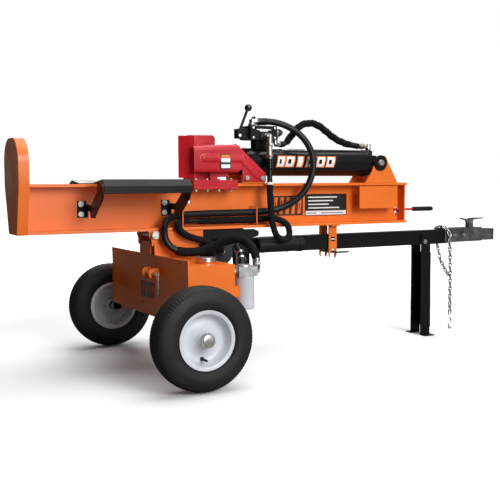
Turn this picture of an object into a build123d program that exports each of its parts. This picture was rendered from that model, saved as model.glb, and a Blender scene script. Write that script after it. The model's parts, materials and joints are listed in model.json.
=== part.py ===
"""Towable log splitter: beam on a tilt pivot, hydraulic ram, oil tank on two wheels, tongue and engine.

Millimetres. +X runs towards the tow coupler, +Y to the engine side, +Z up. The origin is on the
ground, half way along the machine and between the two wheels.
"""
from build123d import *
from math import pi, radians, tan
import os

os.makedirs("parts", exist_ok=True)

# ---- driving dimensions ----
HALF_LENGTH = 1297.0          # foot plate's outer face to the coupler's nose, halved
TYRE_R, TYRE_W = 205.0, 122.0     # 4.80-8 trailer tyre
RIM_R = 115.0
WHEEL_X, WHEEL_Y = -718.0, 525.0
SPINDLE_R = 12.7
STEM_X, STEM_Z = WHEEL_X - 4, TYRE_R - 76

PIVOT_X, PIVOT_Z = -722.0, 576.0
PIVOT_R = 12.0
BEAM_Z0, BEAM_Z1 = 592.0, 793.0   # underside and top of the I-beam
FLANGE_W, FLANGE_T, WEB_T = 140.0, 12.0, 9.0
BEAM_X1 = 644.0
FOOT_T = 44.0
FOOT_X1 = -HALF_LENGTH + FOOT_T

TANK_X0, TANK_X1 = -734.0, -530.0
TANK_Z0, TANK_Z1 = 229.0, 472.0
TANK_LIP_Z = 493.0            # the front plate stands above the tank's lid
FILLER = (-608.0, -336.0)
POST_Y = 51.0
TANK_Y = 440.0
SHEET_T = 4.0

CYL_Z, CYL_R, BORE_R, ROD_R = 890.0, 63.5, 57.2, 22.2
CYL_X0, CYL_X1 = -250.0, 440.0
BASE_PIN_X = 472.0
PORT_X = 452.0

TONGUE_X0, TONGUE_X1 = -300.0, 952.0
TONGUE_Y, TONGUE_Z0, TONGUE_Z1 = 32.0, 473.0, 545.0
TUBE_WALL = 5.0

CRANK_X, CRANK_Z = -395.0, 482.0
LATCH_X, LATCH_Z = 1135.0, 577.0
STAND_X, STAND_Z = 786.0, 488.0
GAP = 0.3                     # clearance between bodies that pass close to each other


# ---- building helpers, used inside a BuildPart block ----
def slab(x0, x1, y0, y1, z0, z1, mode=Mode.ADD):
    """A rectangular block between the given coordinates."""
    with BuildSketch(Plane.XY.offset(z0)) as outline:
        with Locations(((x0 + x1) / 2, (y0 + y1) / 2)):
            Rectangle(x1 - x0, y1 - y0)
    extrude(outline.sketch, amount=z1 - z0, mode=mode)


def both_sides(x0, x1, y0, y1, z0, z1, mode=Mode.ADD):
    """The same block on the near and the far side."""
    slab(x0, x1, y0, y1, z0, z1, mode)
    slab(x0, x1, -y1, -y0, z0, z1, mode)


def along_x(y, z, x0, x1, r, mode=Mode.ADD):
    """A round bar along X."""
    with BuildSketch(Plane((x0, y, z), x_dir=(0, 1, 0), z_dir=(1, 0, 0))) as outline:
        Circle(r)
    extrude(outline.sketch, amount=x1 - x0, mode=mode)


def along_y(x, z, y0, y1, r, mode=Mode.ADD):
    """A round bar along Y."""
    with BuildSketch(Plane((x, y0, z), x_dir=(1, 0, 0), z_dir=(0, 1, 0))) as outline:
        Circle(r)
    extrude(outline.sketch, amount=y1 - y0, mode=mode)


def along_z(x, y, z0, z1, r, mode=Mode.ADD):
    """A round bar along Z."""
    with BuildSketch(Plane.XY.offset(z0)) as outline:
        with Locations((x, y)):
            Circle(r)
    extrude(outline.sketch, amount=z1 - z0, mode=mode)


def hex_y(x, z, y0, y1, r):
    """A hexagonal head along Y, r to its corners."""
    with BuildSketch(Plane((x, y0, z), x_dir=(1, 0, 0), z_dir=(0, 1, 0))) as outline:
        RegularPolygon(r, 6)
    extrude(outline.sketch, amount=y1 - y0)


def hex_z(x, y, z0, z1, r):
    """A hexagonal head along Z, r to its corners."""
    with BuildSketch(Plane.XY.offset(z0)) as outline:
        with Locations((x, y)):
            RegularPolygon(r, 6)
    extrude(outline.sketch, amount=z1 - z0)


def plate_xz(points, y0, y1, mode=Mode.ADD):
    """A flat plate whose outline is drawn in X and Z, from y0 to y1."""
    with BuildSketch(Plane((0, y1, 0), x_dir=(1, 0, 0), z_dir=(0, -1, 0))) as outline:
        with BuildLine():
            Polyline(points, close=True)
        make_face()
    extrude(outline.sketch, amount=y1 - y0, mode=mode)


def plate_yz(points, x0, x1, mode=Mode.ADD):
    """A flat plate whose outline is drawn in Y and Z, from x0 to x1."""
    with BuildSketch(Plane((x0, 0, 0), x_dir=(0, 1, 0), z_dir=(1, 0, 0))) as outline:
        with BuildLine():
            Polyline(points, close=True)
        make_face()
    extrude(outline.sketch, amount=x1 - x0, mode=mode)


def save(builder, name):
    """Labels the finished piece and writes its STEP."""
    builder.part.label = name
    export_step(builder.part, f"parts/{name}.step")


def hose(name, points, diameter):
    """A hose along hand-set points: straight runs joined by arcs as large as the runs allow."""
    points = [Vector(*p) for p in points]
    radii = []
    for before, here, after in zip(points, points[1:], points[2:]):
        half_turn = radians((here - before).get_angle(after - here)) / 2
        shorter = min((here - before).length, (after - here).length)
        radii.append(0.45 * shorter / tan(half_turn))
    with BuildPart() as made:
        with BuildLine() as route:
            FilletPolyline(*points, radius=radii)
        with BuildSketch(Plane(points[0], z_dir=points[1] - points[0])):
            Circle(diameter / 2)
        sweep(path=route.wires()[0])
    length = route.wires()[0].length
    share = made.part.volume / (pi * diameter ** 2 / 4 * length)
    print(name, "length", round(length), "volume over section x length", round(share, 4))
    print("   radii", [round(r) for r in radii])
    save(made, name)


# ---- wheels ----
def wheel(side, name):
    """One tyre on its dished rim, with the bearings, the hub cap and the valve stem."""
    y = side * WHEEL_Y
    section = Plane((WHEEL_X, y, TYRE_R), x_dir=(0, side, 0), z_dir=(1, 0, 0))
    axis = Axis((WHEEL_X, y, TYRE_R), (0, 1, 0))
    half = TYRE_W / 2
    with BuildPart() as tyre:
        with BuildSketch(section):
            with BuildLine():
                Polyline(
                    (-47, 104.5), (-47.4, 116), (-half + 4, 122), (-half, 152), (-half + 8, 184), (-38, 201),
                    (0, TYRE_R), (38, 201), (half - 8, 184), (half, 152), (half - 4, 122), (47.4, 116),
                    (47, 104.5), (40, 104.5), (44, 118), (51, 132), (50, 175), (32, 193), (-32, 193),
                    (-50, 175), (-51, 132), (-44, 118), (-40, 104.5), close=True,
                )
            make_face()
        revolve(axis=axis)
    save(tyre, f"tyre_{name}")
    with BuildPart() as rim:
        with BuildSketch(section):
            with BuildLine():
                Polyline(
                    (51, RIM_R), (48, RIM_R), (47.5, 104), (36, 101), (12, 96), (-12, 96),
                    (-36, 101), (-47.5, 104), (-48, RIM_R), (-51, RIM_R), (-50.5, 101),
                    (-36, 97.5), (-14, 92.5), (4, 92.5), (6, 60), (18, 38), (18, 27), (-40, 27),
                    (-40, 23), (40, 23), (40, 34), (22, 40), (10, 62), (8, 92.5), (14, 92.5),
                    (36, 97.5), (50.5, 101), close=True,
                )
            make_face()
        revolve(axis=axis)
        along_y(STEM_X, STEM_Z, y - 60, y + 60, 5.05, Mode.SUBTRACT)
    save(rim, f"rim_{name}")
    with BuildPart() as hub:
        # two bearings, then the grease cap, then the tyre valve
        for inner, outer in ((-39, -25), (25, 39)):
            y0 = min(y + side * inner, y + side * outer)
            along_y(WHEEL_X, TYRE_R, y0, y0 + outer - inner, 22.98)
            along_y(WHEEL_X, TYRE_R, y0, y0 + outer - inner, SPINDLE_R + 0.05, Mode.SUBTRACT)
        with BuildSketch(section):
            with BuildLine():
                Polyline(
                    (40.3, 23), (40.3, 30), (48, 28), (63, 26), (66, 20), (66, 0), (63, 0),
                    (61, 18), (46, 22), close=True,
                )
            make_face()
        revolve(axis=axis)
        y0, y1 = sorted((y + side * 6, y + side * 50))
        along_y(STEM_X, STEM_Z, y0, y1, 5)
    save(hub, f"hub_fittings_{name}")


wheel(-1, "near")
wheel(1, "far")

# ---- oil tank, pivot post and running gear ----
with BuildPart() as tank:
    slab(TANK_X0, TANK_X1, -TANK_Y, TANK_Y, TANK_Z0, TANK_Z1)
    slab(
        TANK_X0 + SHEET_T, TANK_X1 - SHEET_T, -TANK_Y + SHEET_T, TANK_Y - SHEET_T,
        TANK_Z0 + SHEET_T, TANK_Z1 - SHEET_T, Mode.SUBTRACT,
    )
    # filler neck and suction outlet
    along_z(*FILLER, TANK_Z1 - SHEET_T, TANK_Z1 + 14, 36)
    along_z(*FILLER, TANK_Z1 - SHEET_T - 1, TANK_Z1 + 14, 31, Mode.SUBTRACT)
    # front plate's upper lip, with a lifting hole at each end
    both_sides(TANK_X0, TANK_X0 + 6, POST_Y + 2, TANK_Y, TANK_Z1, TANK_LIP_Z)
    along_x(-394, 483, TANK_X0 - 1, TANK_X0 + 7, 4.5, Mode.SUBTRACT)
    along_x(394, 483, TANK_X0 - 1, TANK_X0 + 7, 4.5, Mode.SUBTRACT)
    # corner ears on the near and far ends
    for y in (-TANK_Y + 6, TANK_Y):
        slab(TANK_X1, TANK_X1 + 22, y - 6, y, 340, 385)
    # two rounded lugs for the upright-position lock pin, welded to the front
    for y in (-82, -156):
        slab(-762, TANK_X0, y, y + 8, 399, 443)
        along_y(-762, 421, y, y + 8, 22)
    along_y(-762, 421, -160, -70, 8.1, Mode.SUBTRACT)
save(tank, "oil_tank")

with BuildPart() as filler_cap:
    along_z(*FILLER, TANK_Z1 + 6, TANK_Z1 + 24, 42)
    along_z(*FILLER, TANK_Z1 + 6, TANK_Z1 + 14.2, 36.05, Mode.SUBTRACT)
    along_z(*FILLER, TANK_Z1 + 6, TANK_Z1 + 14.2, 30.9)
save(filler_cap, "filler_cap")

with BuildPart() as pivot_post:
    slab(TANK_X0, -640, -POST_Y, POST_Y, TANK_Z1, 548)
    slab(TANK_X0 + 5, -645, -POST_Y + 5, POST_Y - 5, TANK_Z1, 548, Mode.SUBTRACT)
    # saddle plate, the two tall cheeks that carry the pivot bolt
    slab(-736, -498, -80, 80, 530, 536)
    both_sides(-738, -498, 74, 80, 536, 590)
    both_sides(-728, -520, 80, 86, TANK_Z1, 540)
    both_sides(-722, -526, 80, 120, TANK_Z1, TANK_Z1 + 6)
    along_y(PIVOT_X, PIVOT_Z, -81, 81, PIVOT_R + 0.05, Mode.SUBTRACT)
save(pivot_post, "pivot_post")

with BuildPart() as rails:
    for y0, y1 in ((-64, -58), (58, 64)):
        plate_xz([(-560, 548), (-240, 548), (-209, 556), (-209, 576), (-234, 587), (-560, 587)], y0, y1)
    slab(-560, -240, -64, 64, 546, 552)
    slab(TONGUE_X0, -240, -64, 64, TONGUE_Z1, 546)
    both_sides(TONGUE_X0, -240, TONGUE_Y, 38, 490, 546)
    # shelf that carries the engine
    slab(TANK_X1, -200, 40, 430, 389, 395)
    slab(TANK_X1, TANK_X1 + 6, 40, 430, 340, 389)
    slab(-240, -200, 40, 46, 395, 520)
    slab(-240, -200, TONGUE_Y, 40, 514, 520)
save(rails, "frame_rails")

with BuildPart() as axle:
    for side in (-1, 1):
        y0, y1 = sorted((side * TANK_Y, side * (TANK_Y + 8)))
        slab(WHEEL_X - 42, WHEEL_X + 42, y0, y1, 188, 330)
        y0, y1 = sorted((side * TANK_Y, side * 572))
        along_y(WHEEL_X, TYRE_R, y0, y1, SPINDLE_R)
        y0, y1 = sorted((side * 565.5, side * 575))
        hex_y(WHEEL_X, TYRE_R, y0, y1, 17)
save(axle, "axle_stubs")

with BuildPart() as tongue:
    slab(TONGUE_X0, TONGUE_X1, -TONGUE_Y, TONGUE_Y, TONGUE_Z0, TONGUE_Z1)
    slab(
        TONGUE_X0 - 1, TONGUE_X1 + 1, -TONGUE_Y + TUBE_WALL, TONGUE_Y - TUBE_WALL,
        TONGUE_Z0 + TUBE_WALL, TONGUE_Z1 - TUBE_WALL, Mode.SUBTRACT,
    )
    along_y(STAND_X, STAND_Z, -40, 40, 8.1, Mode.SUBTRACT)
save(tongue, "tongue")

# ---- coupler, chains and jack stand ----
BALL_X = 1252.0
with BuildPart() as coupler:
    slab(930, 1190, -38, 38, 478, 552)
    slab(929, TONGUE_X1 + 0.5, -TONGUE_Y, TONGUE_Y, 470, TONGUE_Z1, Mode.SUBTRACT)
    slab(TONGUE_X1 - 1, 1191, -33, 33, 470, 547, Mode.SUBTRACT)
    with BuildSketch(Plane.XY.offset(482)):
        with Locations((BALL_X, 0)):
            Circle(HALF_LENGTH - BALL_X)
        with BuildLine():
            Polyline((1185, -38), (BALL_X, -45), (BALL_X, 45), (1185, 38), close=True)
        make_face()
    extrude(amount=60)
    with BuildSketch(Plane.XY.offset(478)):
        with Locations((BALL_X, 0)):
            Circle(27)
    extrude(amount=26, mode=Mode.SUBTRACT)
    with Locations((BALL_X, 0, 504)):
        Sphere(27, mode=Mode.SUBTRACT)
    slab(1184, 1212, -26, 26, 470, 536, Mode.SUBTRACT)
    both_sides(1120, 1150, 8, 14, 552, 590)
    along_y(LATCH_X, LATCH_Z, -20, 20, 4.1, Mode.SUBTRACT)
    for x in (1000, 1060):
        along_y(x, 512, -40, 40, 6.4, Mode.SUBTRACT)
save(coupler, "coupler_body")

with BuildPart() as tongue_bolts:
    along_y(STAND_X, STAND_Z, -50, 50, 8)
    hex_y(STAND_X, STAND_Z, -51, -41.3, 13)
    hex_y(STAND_X, STAND_Z, 41.3, 51, 13)
    for x in (1000, 1060):
        along_y(x, 512, -44, 46, 6.3)
        hex_y(x, 512, -46, -38, 11)
        hex_y(x, 512, 38, 46, 11)
    along_y(LATCH_X, LATCH_Z, -19, 19, 4.0)
    for y in (-21, 17):
        along_y(LATCH_X, LATCH_Z, y, y + 4, 7)
save(tongue_bolts, "tongue_bolts")

with BuildPart() as latch:
    plate_xz([(1120, 566), (1150, 566), (1158, 592), (1234, 597), (1234, 602), (1140, 602), (1112, 596),
              (1072, 604), (1072, 598), (1108, 588)], -7.7, 7.7)
    along_y(LATCH_X, LATCH_Z, -9, 9, 4.05, Mode.SUBTRACT)
save(latch, "coupler_latch")

with BuildPart() as stand:
    both_sides(768, 828, 36, 41, 2, 530)
    slab(828, 832, -41, 41, 40, 430)
    both_sides(768, 828, 36, 78, 0, 5)
    along_y(STAND_X, STAND_Z, -42, 42, 8.1, Mode.SUBTRACT)
save(stand, "jack_stand")

LINK_PITCH, LINK_T = 20.7, 6.0


def link(x, y, z, turned):
    """One chain link hanging at a place: an oblong ring, 34 long, with a hole its neighbour fits."""
    facing = (0, 1, 0) if turned else (1, 0, 0)
    middle = Plane((x, y, z), x_dir=(0, 0, 1), z_dir=facing)
    with BuildSketch(middle) as ring:
        SlotOverall(34, 20)
        SlotOverall(21, 7, mode=Mode.SUBTRACT)
    extrude(ring.sketch, amount=LINK_T / 2, both=True)


with BuildPart() as chains:
    for x, y, links in ((952, -49, 24), (952, 49, 13)):
        for i in range(links):
            link(x, y, 526 - LINK_PITCH * i, i % 2 == 0)
save(chains, "safety_chains")

# ---- hydraulic pump, filter and document tube ----
with BuildPart() as pump:
    along_y(CRANK_X, CRANK_Z, -70, 30, 48)
    along_y(CRANK_X, CRANK_Z, 30, 44, 58)
    along_y(CRANK_X, CRANK_Z, 44, 70, 8)
    # suction elbow on the tongue side, its mouth facing down
    slab(CRANK_X, -304, -60, -28, 505, 533)
    along_z(-320, -44, 500, 505, 16)
save(pump, "hydraulic_pump")

with BuildPart() as bell:
    along_y(CRANK_X, CRANK_Z, 44, 170, 62)
    along_y(CRANK_X, CRANK_Z, 43, 171, 50, Mode.SUBTRACT)
    slab(CRANK_X - 30, CRANK_X + 30, 80, 130, CRANK_Z, CRANK_Z + 80, Mode.SUBTRACT)
save(bell, "pump_bracket")

with BuildPart() as coupling:
    along_y(CRANK_X, CRANK_Z, 72, 150, 24)
    along_y(CRANK_X, CRANK_Z, 150, 330, 13)
save(coupling, "crankshaft_coupling")

with BuildPart() as filter_head:
    slab(-500, -414, -420, -340, 416, 456)
    along_x(-380, 436, TANK_X1, -500, 15)
    # elbow that takes the return hose from above
    along_x(-356, 436, -414, -385, 14)
    along_z(-385, -356, 422, 452, 14)
save(filter_head, "filter_head")

with BuildPart() as canister:
    along_z(-457, -380, 280, 415.8, 42)
    fillet(canister.part.edges().group_by(Axis.Z)[0], 8)
save(canister, "filter_canister")

with BuildPart() as papers:
    along_x(-68, 509, -221, -8, 33)
    along_x(-68, 509, -218, -12, 30, Mode.SUBTRACT)
    slab(-190, -180, -60, -TONGUE_Y - 0.3, 474, 484)
    slab(-60, -50, -60, -TONGUE_Y - 0.3, 474, 484)
    along_x(-68, 509, -7.7, 14, 35)
save(papers, "document_tube")

# ---- engine on the far side ----
with BuildPart() as engine:
    slab(-500, -290, 180, 330, 395, 580)
    along_y(CRANK_X, CRANK_Z, 170.3, 180, 70)
    slab(-480, -310, 200, 310, 580, 690)
    for i in range(6):
        slab(-492, -298, 190, 320, 600 + 15 * i, 605 + 15 * i)
    along_y(CRANK_X, CRANK_Z, 150, 340, 13.3, Mode.SUBTRACT)
    along_z(-395, 255, 690, 715, 10)
save(engine, "engine_block")

with BuildPart() as shroud:
    along_y(CRANK_X, CRANK_Z + 24, 331, 400, 108)
    along_y(CRANK_X, CRANK_Z + 24, 330, 396, 104, Mode.SUBTRACT)
    slab(-420, -370, 400, 418, 596, 608)
save(shroud, "recoil_shroud")

with BuildPart() as fuel_tank:
    slab(-520, -280, 180, 320, 716, 746)
    slab(-516, -284, 184, 316, 720, 742, Mode.SUBTRACT)
    along_z(-330, 250, 742, 749, 22)
save(fuel_tank, "fuel_tank")

with BuildPart() as muffler:
    slab(-288, -215, 190, 320, 560, 680)
    fillet(muffler.part.edges().filter_by(Axis.Y), 20)
save(muffler, "muffler")
with BuildPart() as air_cleaner:
    slab(-560, -501, 200, 320, 560, 680)
    fillet(air_cleaner.part.edges().filter_by(Axis.Z), 12)
save(air_cleaner, "air_cleaner")

# ---- beam and what is welded or bolted to it ----
with BuildPart() as beam:
    slab(FOOT_X1, BEAM_X1, -FLANGE_W / 2, FLANGE_W / 2, BEAM_Z0, BEAM_Z0 + FLANGE_T)
    slab(FOOT_X1, BEAM_X1, -FLANGE_W / 2, FLANGE_W / 2, BEAM_Z1 - FLANGE_T, BEAM_Z1)
    slab(FOOT_X1, BEAM_X1, -WEB_T / 2, WEB_T / 2, BEAM_Z0, BEAM_Z1)
    along_y(-526, 712, -10, 10, 7, Mode.SUBTRACT)
    # pivot lugs under the beam, between the post's cheeks
    both_sides(PIVOT_X - 24, PIVOT_X + 40, 62, 72, PIVOT_Z, BEAM_Z0)
    both_sides(PIVOT_X, PIVOT_X + 20, 62, 72, PIVOT_Z - 22, PIVOT_Z)
    for y in (-72, 62):
        along_y(PIVOT_X, PIVOT_Z, y, y + 10, 24)
    along_y(PIVOT_X, PIVOT_Z, -75, 75, PIVOT_R + 0.05, Mode.SUBTRACT)
    # lugs that carry the log strippers
    both_sides(-300, -184, 64, 77.5, BEAM_Z1, 834)
save(beam, "beam")

with BuildPart() as pivot_bolt:
    along_y(PIVOT_X, PIVOT_Z, -92, 92, PIVOT_R)
    hex_y(PIVOT_X, PIVOT_Z, -92, -80.3, 19)
    hex_y(PIVOT_X, PIVOT_Z, 80.3, 92, 19)
save(pivot_bolt, "pivot_bolt")

with BuildPart() as foot:
    with BuildSketch(Plane((-HALF_LENGTH, 0, 0), x_dir=(0, 1, 0), z_dir=(1, 0, 0))):
        with BuildLine():
            Polyline(
                (-70, BEAM_Z0), (-122, 784), (-122, 878), (-122, 976), (122, 976), (122, 878), (122, 784),
                (70, BEAM_Z0), close=True,
            )
        make_face()
    extrude(amount=FOOT_T)
    top = foot.part.edges().filter_by(Axis.X).group_by(Axis.Z)[-1]
    fillet(top, 98)
save(foot, "foot_plate")

CRADLE_X0, CRADLE_X1 = -994.0, -618.0
for side, name in ((-1, "near"), (1, "far")):
    with BuildPart() as cradle:
        plate_yz(
            [(side * y, z) for y, z in (
                (93, 797), (207, 811), (239, 784), (239, 754), (234, 754), (234, 782), (205, 806), (93, 792),
            )][::side], CRADLE_X0, CRADLE_X1,
        )
    save(cradle, f"log_cradle_{name}")

ARM = (
    (9.5, 655), (24, 655), (30, 682), (66, 682), (78, 655), (118, 655), (228, 734), (233.9, 756),
    (233.9, 781.5), (206, 804.5), (166, 800), (164, 763), (84, 709), (9.5, 709),
)
with BuildPart() as brackets:
    for side in (-1, 1):
        for x0, foot0, foot1 in ((-1000, -1034, -995), (-628, -662, -623)):
            plate_yz([(side * y, z) for y, z in ARM][::side], x0, x0 + 5)
            y0, y1 = sorted((side * WEB_T / 2, side * 9.5))
            slab(foot0, foot1, y0, y1, 655, 723)
    for x in (-649.5, -1020):
        for z in (669, 711):
            along_y(x, z, -12, 12, 6.1, Mode.SUBTRACT)
save(brackets, "cradle_brackets")

with BuildPart() as beam_bolts:
    for side in (-1, 1):
        for x in (-649.5, -1020):
            for z in (669, 711):
                y0, y1 = sorted((side * 9.5, side * 16))
                along_y(x, z, y0, y1, 12)
                y0, y1 = sorted((side * WEB_T / 2, side * 9.5))
                along_y(x, z, y0, y1, 6)
        for x in (-280, -200):
            y0, y1 = sorted((side * 83, side * 92))
            hex_y(x, 816, y0, y1, 12)
save(beam_bolts, "beam_bolts")

with BuildPart() as gussets:
    for side in (-1, 1):
        y0, y1 = sorted((side * 64, side * 72))
        plate_xz([(385, BEAM_Z1), (582, BEAM_Z1), (506, 925), (458, 925), (423, 846)], y0, y1)
        y0, y1 = sorted((side * 70, side * 78))
        plate_xz([(346, 668), (578, 668), (578, 776), (346, 776)], y0, y1)
    both_sides(420, 520, WEB_T / 2, 70, 716, 724)
    along_y(BASE_PIN_X, CYL_Z, -80, 80, 16.1, Mode.SUBTRACT)
save(gussets, "cylinder_anchor")

with BuildPart() as base_pin:
    along_y(BASE_PIN_X, CYL_Z, -84, 84, 16)
save(base_pin, "base_pin")

with BuildPart() as barrel:
    along_x(0, CYL_Z, CYL_X0, CYL_X1, CYL_R)
    along_x(0, CYL_Z, CYL_X0 - 1, CYL_X1 - 10, BORE_R, Mode.SUBTRACT)
    slab(CYL_X1 - 1, BASE_PIN_X, -26, 26, CYL_Z - 38, CYL_Z + 38)
    along_y(BASE_PIN_X, CYL_Z, -26, 26, 38)
    along_y(BASE_PIN_X, CYL_Z, -30, 30, 16.1, Mode.SUBTRACT)
    # port block on the base cap
    slab(CYL_X1 - 1, PORT_X + 15, -16, 16, CYL_Z + 25, CYL_Z + 61)
    along_z(PORT_X, 0, CYL_Z + 60, CYL_Z + 69, 13)
save(barrel, "cylinder_barrel")

with BuildPart() as gland:
    along_x(0, CYL_Z, CYL_X0, CYL_X0 + 35, BORE_R - 0.02)
    along_x(0, CYL_Z, CYL_X0 - 8, CYL_X0, CYL_R)
    along_x(0, CYL_Z, CYL_X0 - 9, CYL_X0 + 36, ROD_R + 0.05, Mode.SUBTRACT)
save(gland, "cylinder_gland")

for side, name in ((-1, "near"), (1, "far")):
    with BuildPart() as stripper:
        y0, y1 = sorted((side * 77.5, side * 83))
        plate_xz(
            [(-538, 845), (-538, 950), (-326, 958), (-290, 935), (-182, 842), (-182, 797), (-300, 797),
             (-300, 850), (-322, 862), (-322, 845)], y0, y1,
        )
        y0, y1 = sorted((side * 58, side * 77.5))
        slab(-538, -534, y0, y1, 845, 950)
        slab(-538, -326, y0, y1, 945, 950)
    save(stripper, f"log_stripper_{name}")

VALVE_X0, VALVE_X1, VALVE_Y, VALVE_Z = -236.0, -98.0, 0.0, 1022.0
LEVER_X, LEVER_Z = -278.0, 1008.0
with BuildPart() as valve:
    slab(VALVE_X0, VALVE_X1, VALVE_Y - 42, VALVE_Y + 42, 990, 1054)
    along_x(0, VALVE_Z + 14, VALVE_X1, VALVE_X1 + 14, 10)
    along_x(0, VALVE_Z, VALVE_X0 - 1, VALVE_X1 - 6, 10, Mode.SUBTRACT)
    # bracket down to the barrel
    both_sides(-200, -140, 20, 26, CYL_Z + 40, 990)
    along_x(0, CYL_Z, -210, -130, CYL_R, Mode.SUBTRACT)
    # clevis that carries the lever
    both_sides(-290, VALVE_X0, 13, 19, 996, 1040)
    slab(-262, VALVE_X0, -19, 19, 990, 996)
    along_y(LEVER_X, LEVER_Z, -22, 22, 4.95)
save(valve, "control_valve")

with BuildPart() as spool:
    along_x(0, VALVE_Z, -258, -110, 9.95)
save(spool, "valve_spool")

KNOB = (-226, 0, 1137)
LEVER_ROD = Plane((LEVER_X, 0, 1016), x_dir=(0, 1, 0), z_dir=(KNOB[0] - LEVER_X, 0, KNOB[2] - 1016))
with BuildPart() as lever:
    slab(LEVER_X - 8, LEVER_X + 8, -12.7, 12.7, 996, 1019)
    along_y(LEVER_X, LEVER_Z, -13, 13, 5.0, Mode.SUBTRACT)
    with BuildSketch(LEVER_ROD):
        Circle(6)
    extrude(amount=121)
save(lever, "valve_lever")

with BuildPart() as knob:
    with Locations(KNOB):
        Sphere(17)
    with BuildSketch(LEVER_ROD):
        Circle(6.02)
    extrude(amount=121.1, mode=Mode.SUBTRACT)
save(knob, "lever_knob")

with BuildPart() as fittings:
    # return port elbow on top
    along_z(-208, -2, 1054, 1084, 13)
    along_x(-2, 1075, -208, -180, 15)
    # work port to the cylinder's base end
    along_x(0, VALVE_Z - 10, VALVE_X1, -72, 13)
    along_z(-84, 0, 974, VALVE_Z - 10, 12)
    along_x(0, 974, -84, -60, 12)
    # pressure port with its elbow, out to the near side
    along_y(-167, 1004, -92, VALVE_Y - 42, 13)
    along_z(-167, -92, 905, 1004, 13)
    # elbow on the cylinder's base port
    along_z(PORT_X, 0, CYL_Z + 69, 984, 13)
    along_x(0, 973, 392, PORT_X, 11)
save(fittings, "hose_fittings")

with BuildPart() as straps:
    for x in (-590, -224):
        slab(x, x + 5, -70, -WEB_T / 2, 606, 611)
        slab(x, x + 5, -70, -WEB_T / 2, 683, 688)
        slab(x, x + 5, -70, -65, 606, 688)
save(straps, "hose_straps")

with BuildPart() as lock_bracket:
    for side in (-1, 1):
        y0, y1 = sorted((side * 37, side * 43))
        plate_xz([(190, BEAM_Z0), (190, 440), (202, 428), (224, 428), (236, 440), (236, BEAM_Z0)], y0, y1)
        y0, y1 = sorted((side * 43, side * 66))
        slab(190, 236, y0, y1, BEAM_Z0 - 6, BEAM_Z0)
    slab(198, 223, -50, 50, 420, 461, Mode.SUBTRACT)
    along_y(214, 461, -50, 50, 9, Mode.SUBTRACT)
    # keyway for the pin's rib
    slab(206, 222, -50, 50, 461, 474, Mode.SUBTRACT)
save(lock_bracket, "beam_lock_bracket")

with BuildPart() as beam_pin:
    along_y(214, 461, -70, 56, 7)
    slab(207, 221, -26, 26, 468, TONGUE_Z0)
    along_x(-74, 461, 210, 284, 5)
save(beam_pin, "beam_lock_pin")

with BuildPart() as upright_pin:
    along_y(-762, 421, -204, -73, 8)
    along_z(-762, -204, 335, 426, 5)
save(upright_pin, "upright_lock_pin")

with BuildPart() as handle:
    slab(604, 652, -WEB_T / 2 - 4, -WEB_T / 2, 638, 678)
    along_x(-12.6, 658, 612, 730, 6)
    along_x(-12.6, 658, 730.1, 860, 12.5)
save(handle, "beam_handle")

# ---- ram ----
PISTON_X = 390
with BuildPart() as rod:
    along_x(0, CYL_Z, -419.8, PISTON_X, ROD_R)
save(rod, "piston_rod")
with BuildPart() as piston:
    along_x(0, CYL_Z, PISTON_X, PISTON_X + 38, BORE_R - 0.05)
save(piston, "piston")

with BuildPart() as wedge:
    plate_xz([(-548, 808), (-548, 1000), (-536, 1005), (-414, 1007), (-402, 996), (-402, 968), (-440, 950),
              (-440, 808)], -12, 12)
    with BuildSketch(Plane.XY.offset(818)):
        with BuildLine():
            Polyline((-576, 0), (-520, -46), (-505, -46), (-505, 46), (-520, 46), close=True)
        make_face()
    extrude(amount=184)
    slab(-505, -420, -30, 30, 840, 940)
    # pusher block low behind the wedge
    slab(-440, -350, -40, 40, 822, 850)
    slab(-440, -405, -40, 40, 808, 822)
    along_x(0, CYL_Z, -420, -400, 34)
    along_x(0, CYL_Z, -419.9, -399, ROD_R + 0.02, Mode.SUBTRACT)
save(wedge, "splitting_wedge")

with BuildPart() as slide:
    slab(-542, -326, -86, 86, BEAM_Z1 + GAP, 808)
    both_sides(-542, -326, 70 + GAP, 86, 778.5, BEAM_Z1 + GAP)
    both_sides(-542, -326, 50, 86, 766, 778.5)
save(slide, "ram_slide")

with BuildPart() as slide_bolts:
    for side in (-1, 1):
        for x in (-530, -475, -418, -358):
            hex_z(x, side * 78, 808, 814, 8)
            hex_z(x, side * 78, 757, 766, 8)
save(slide_bolts, "slide_bolts")

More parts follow.
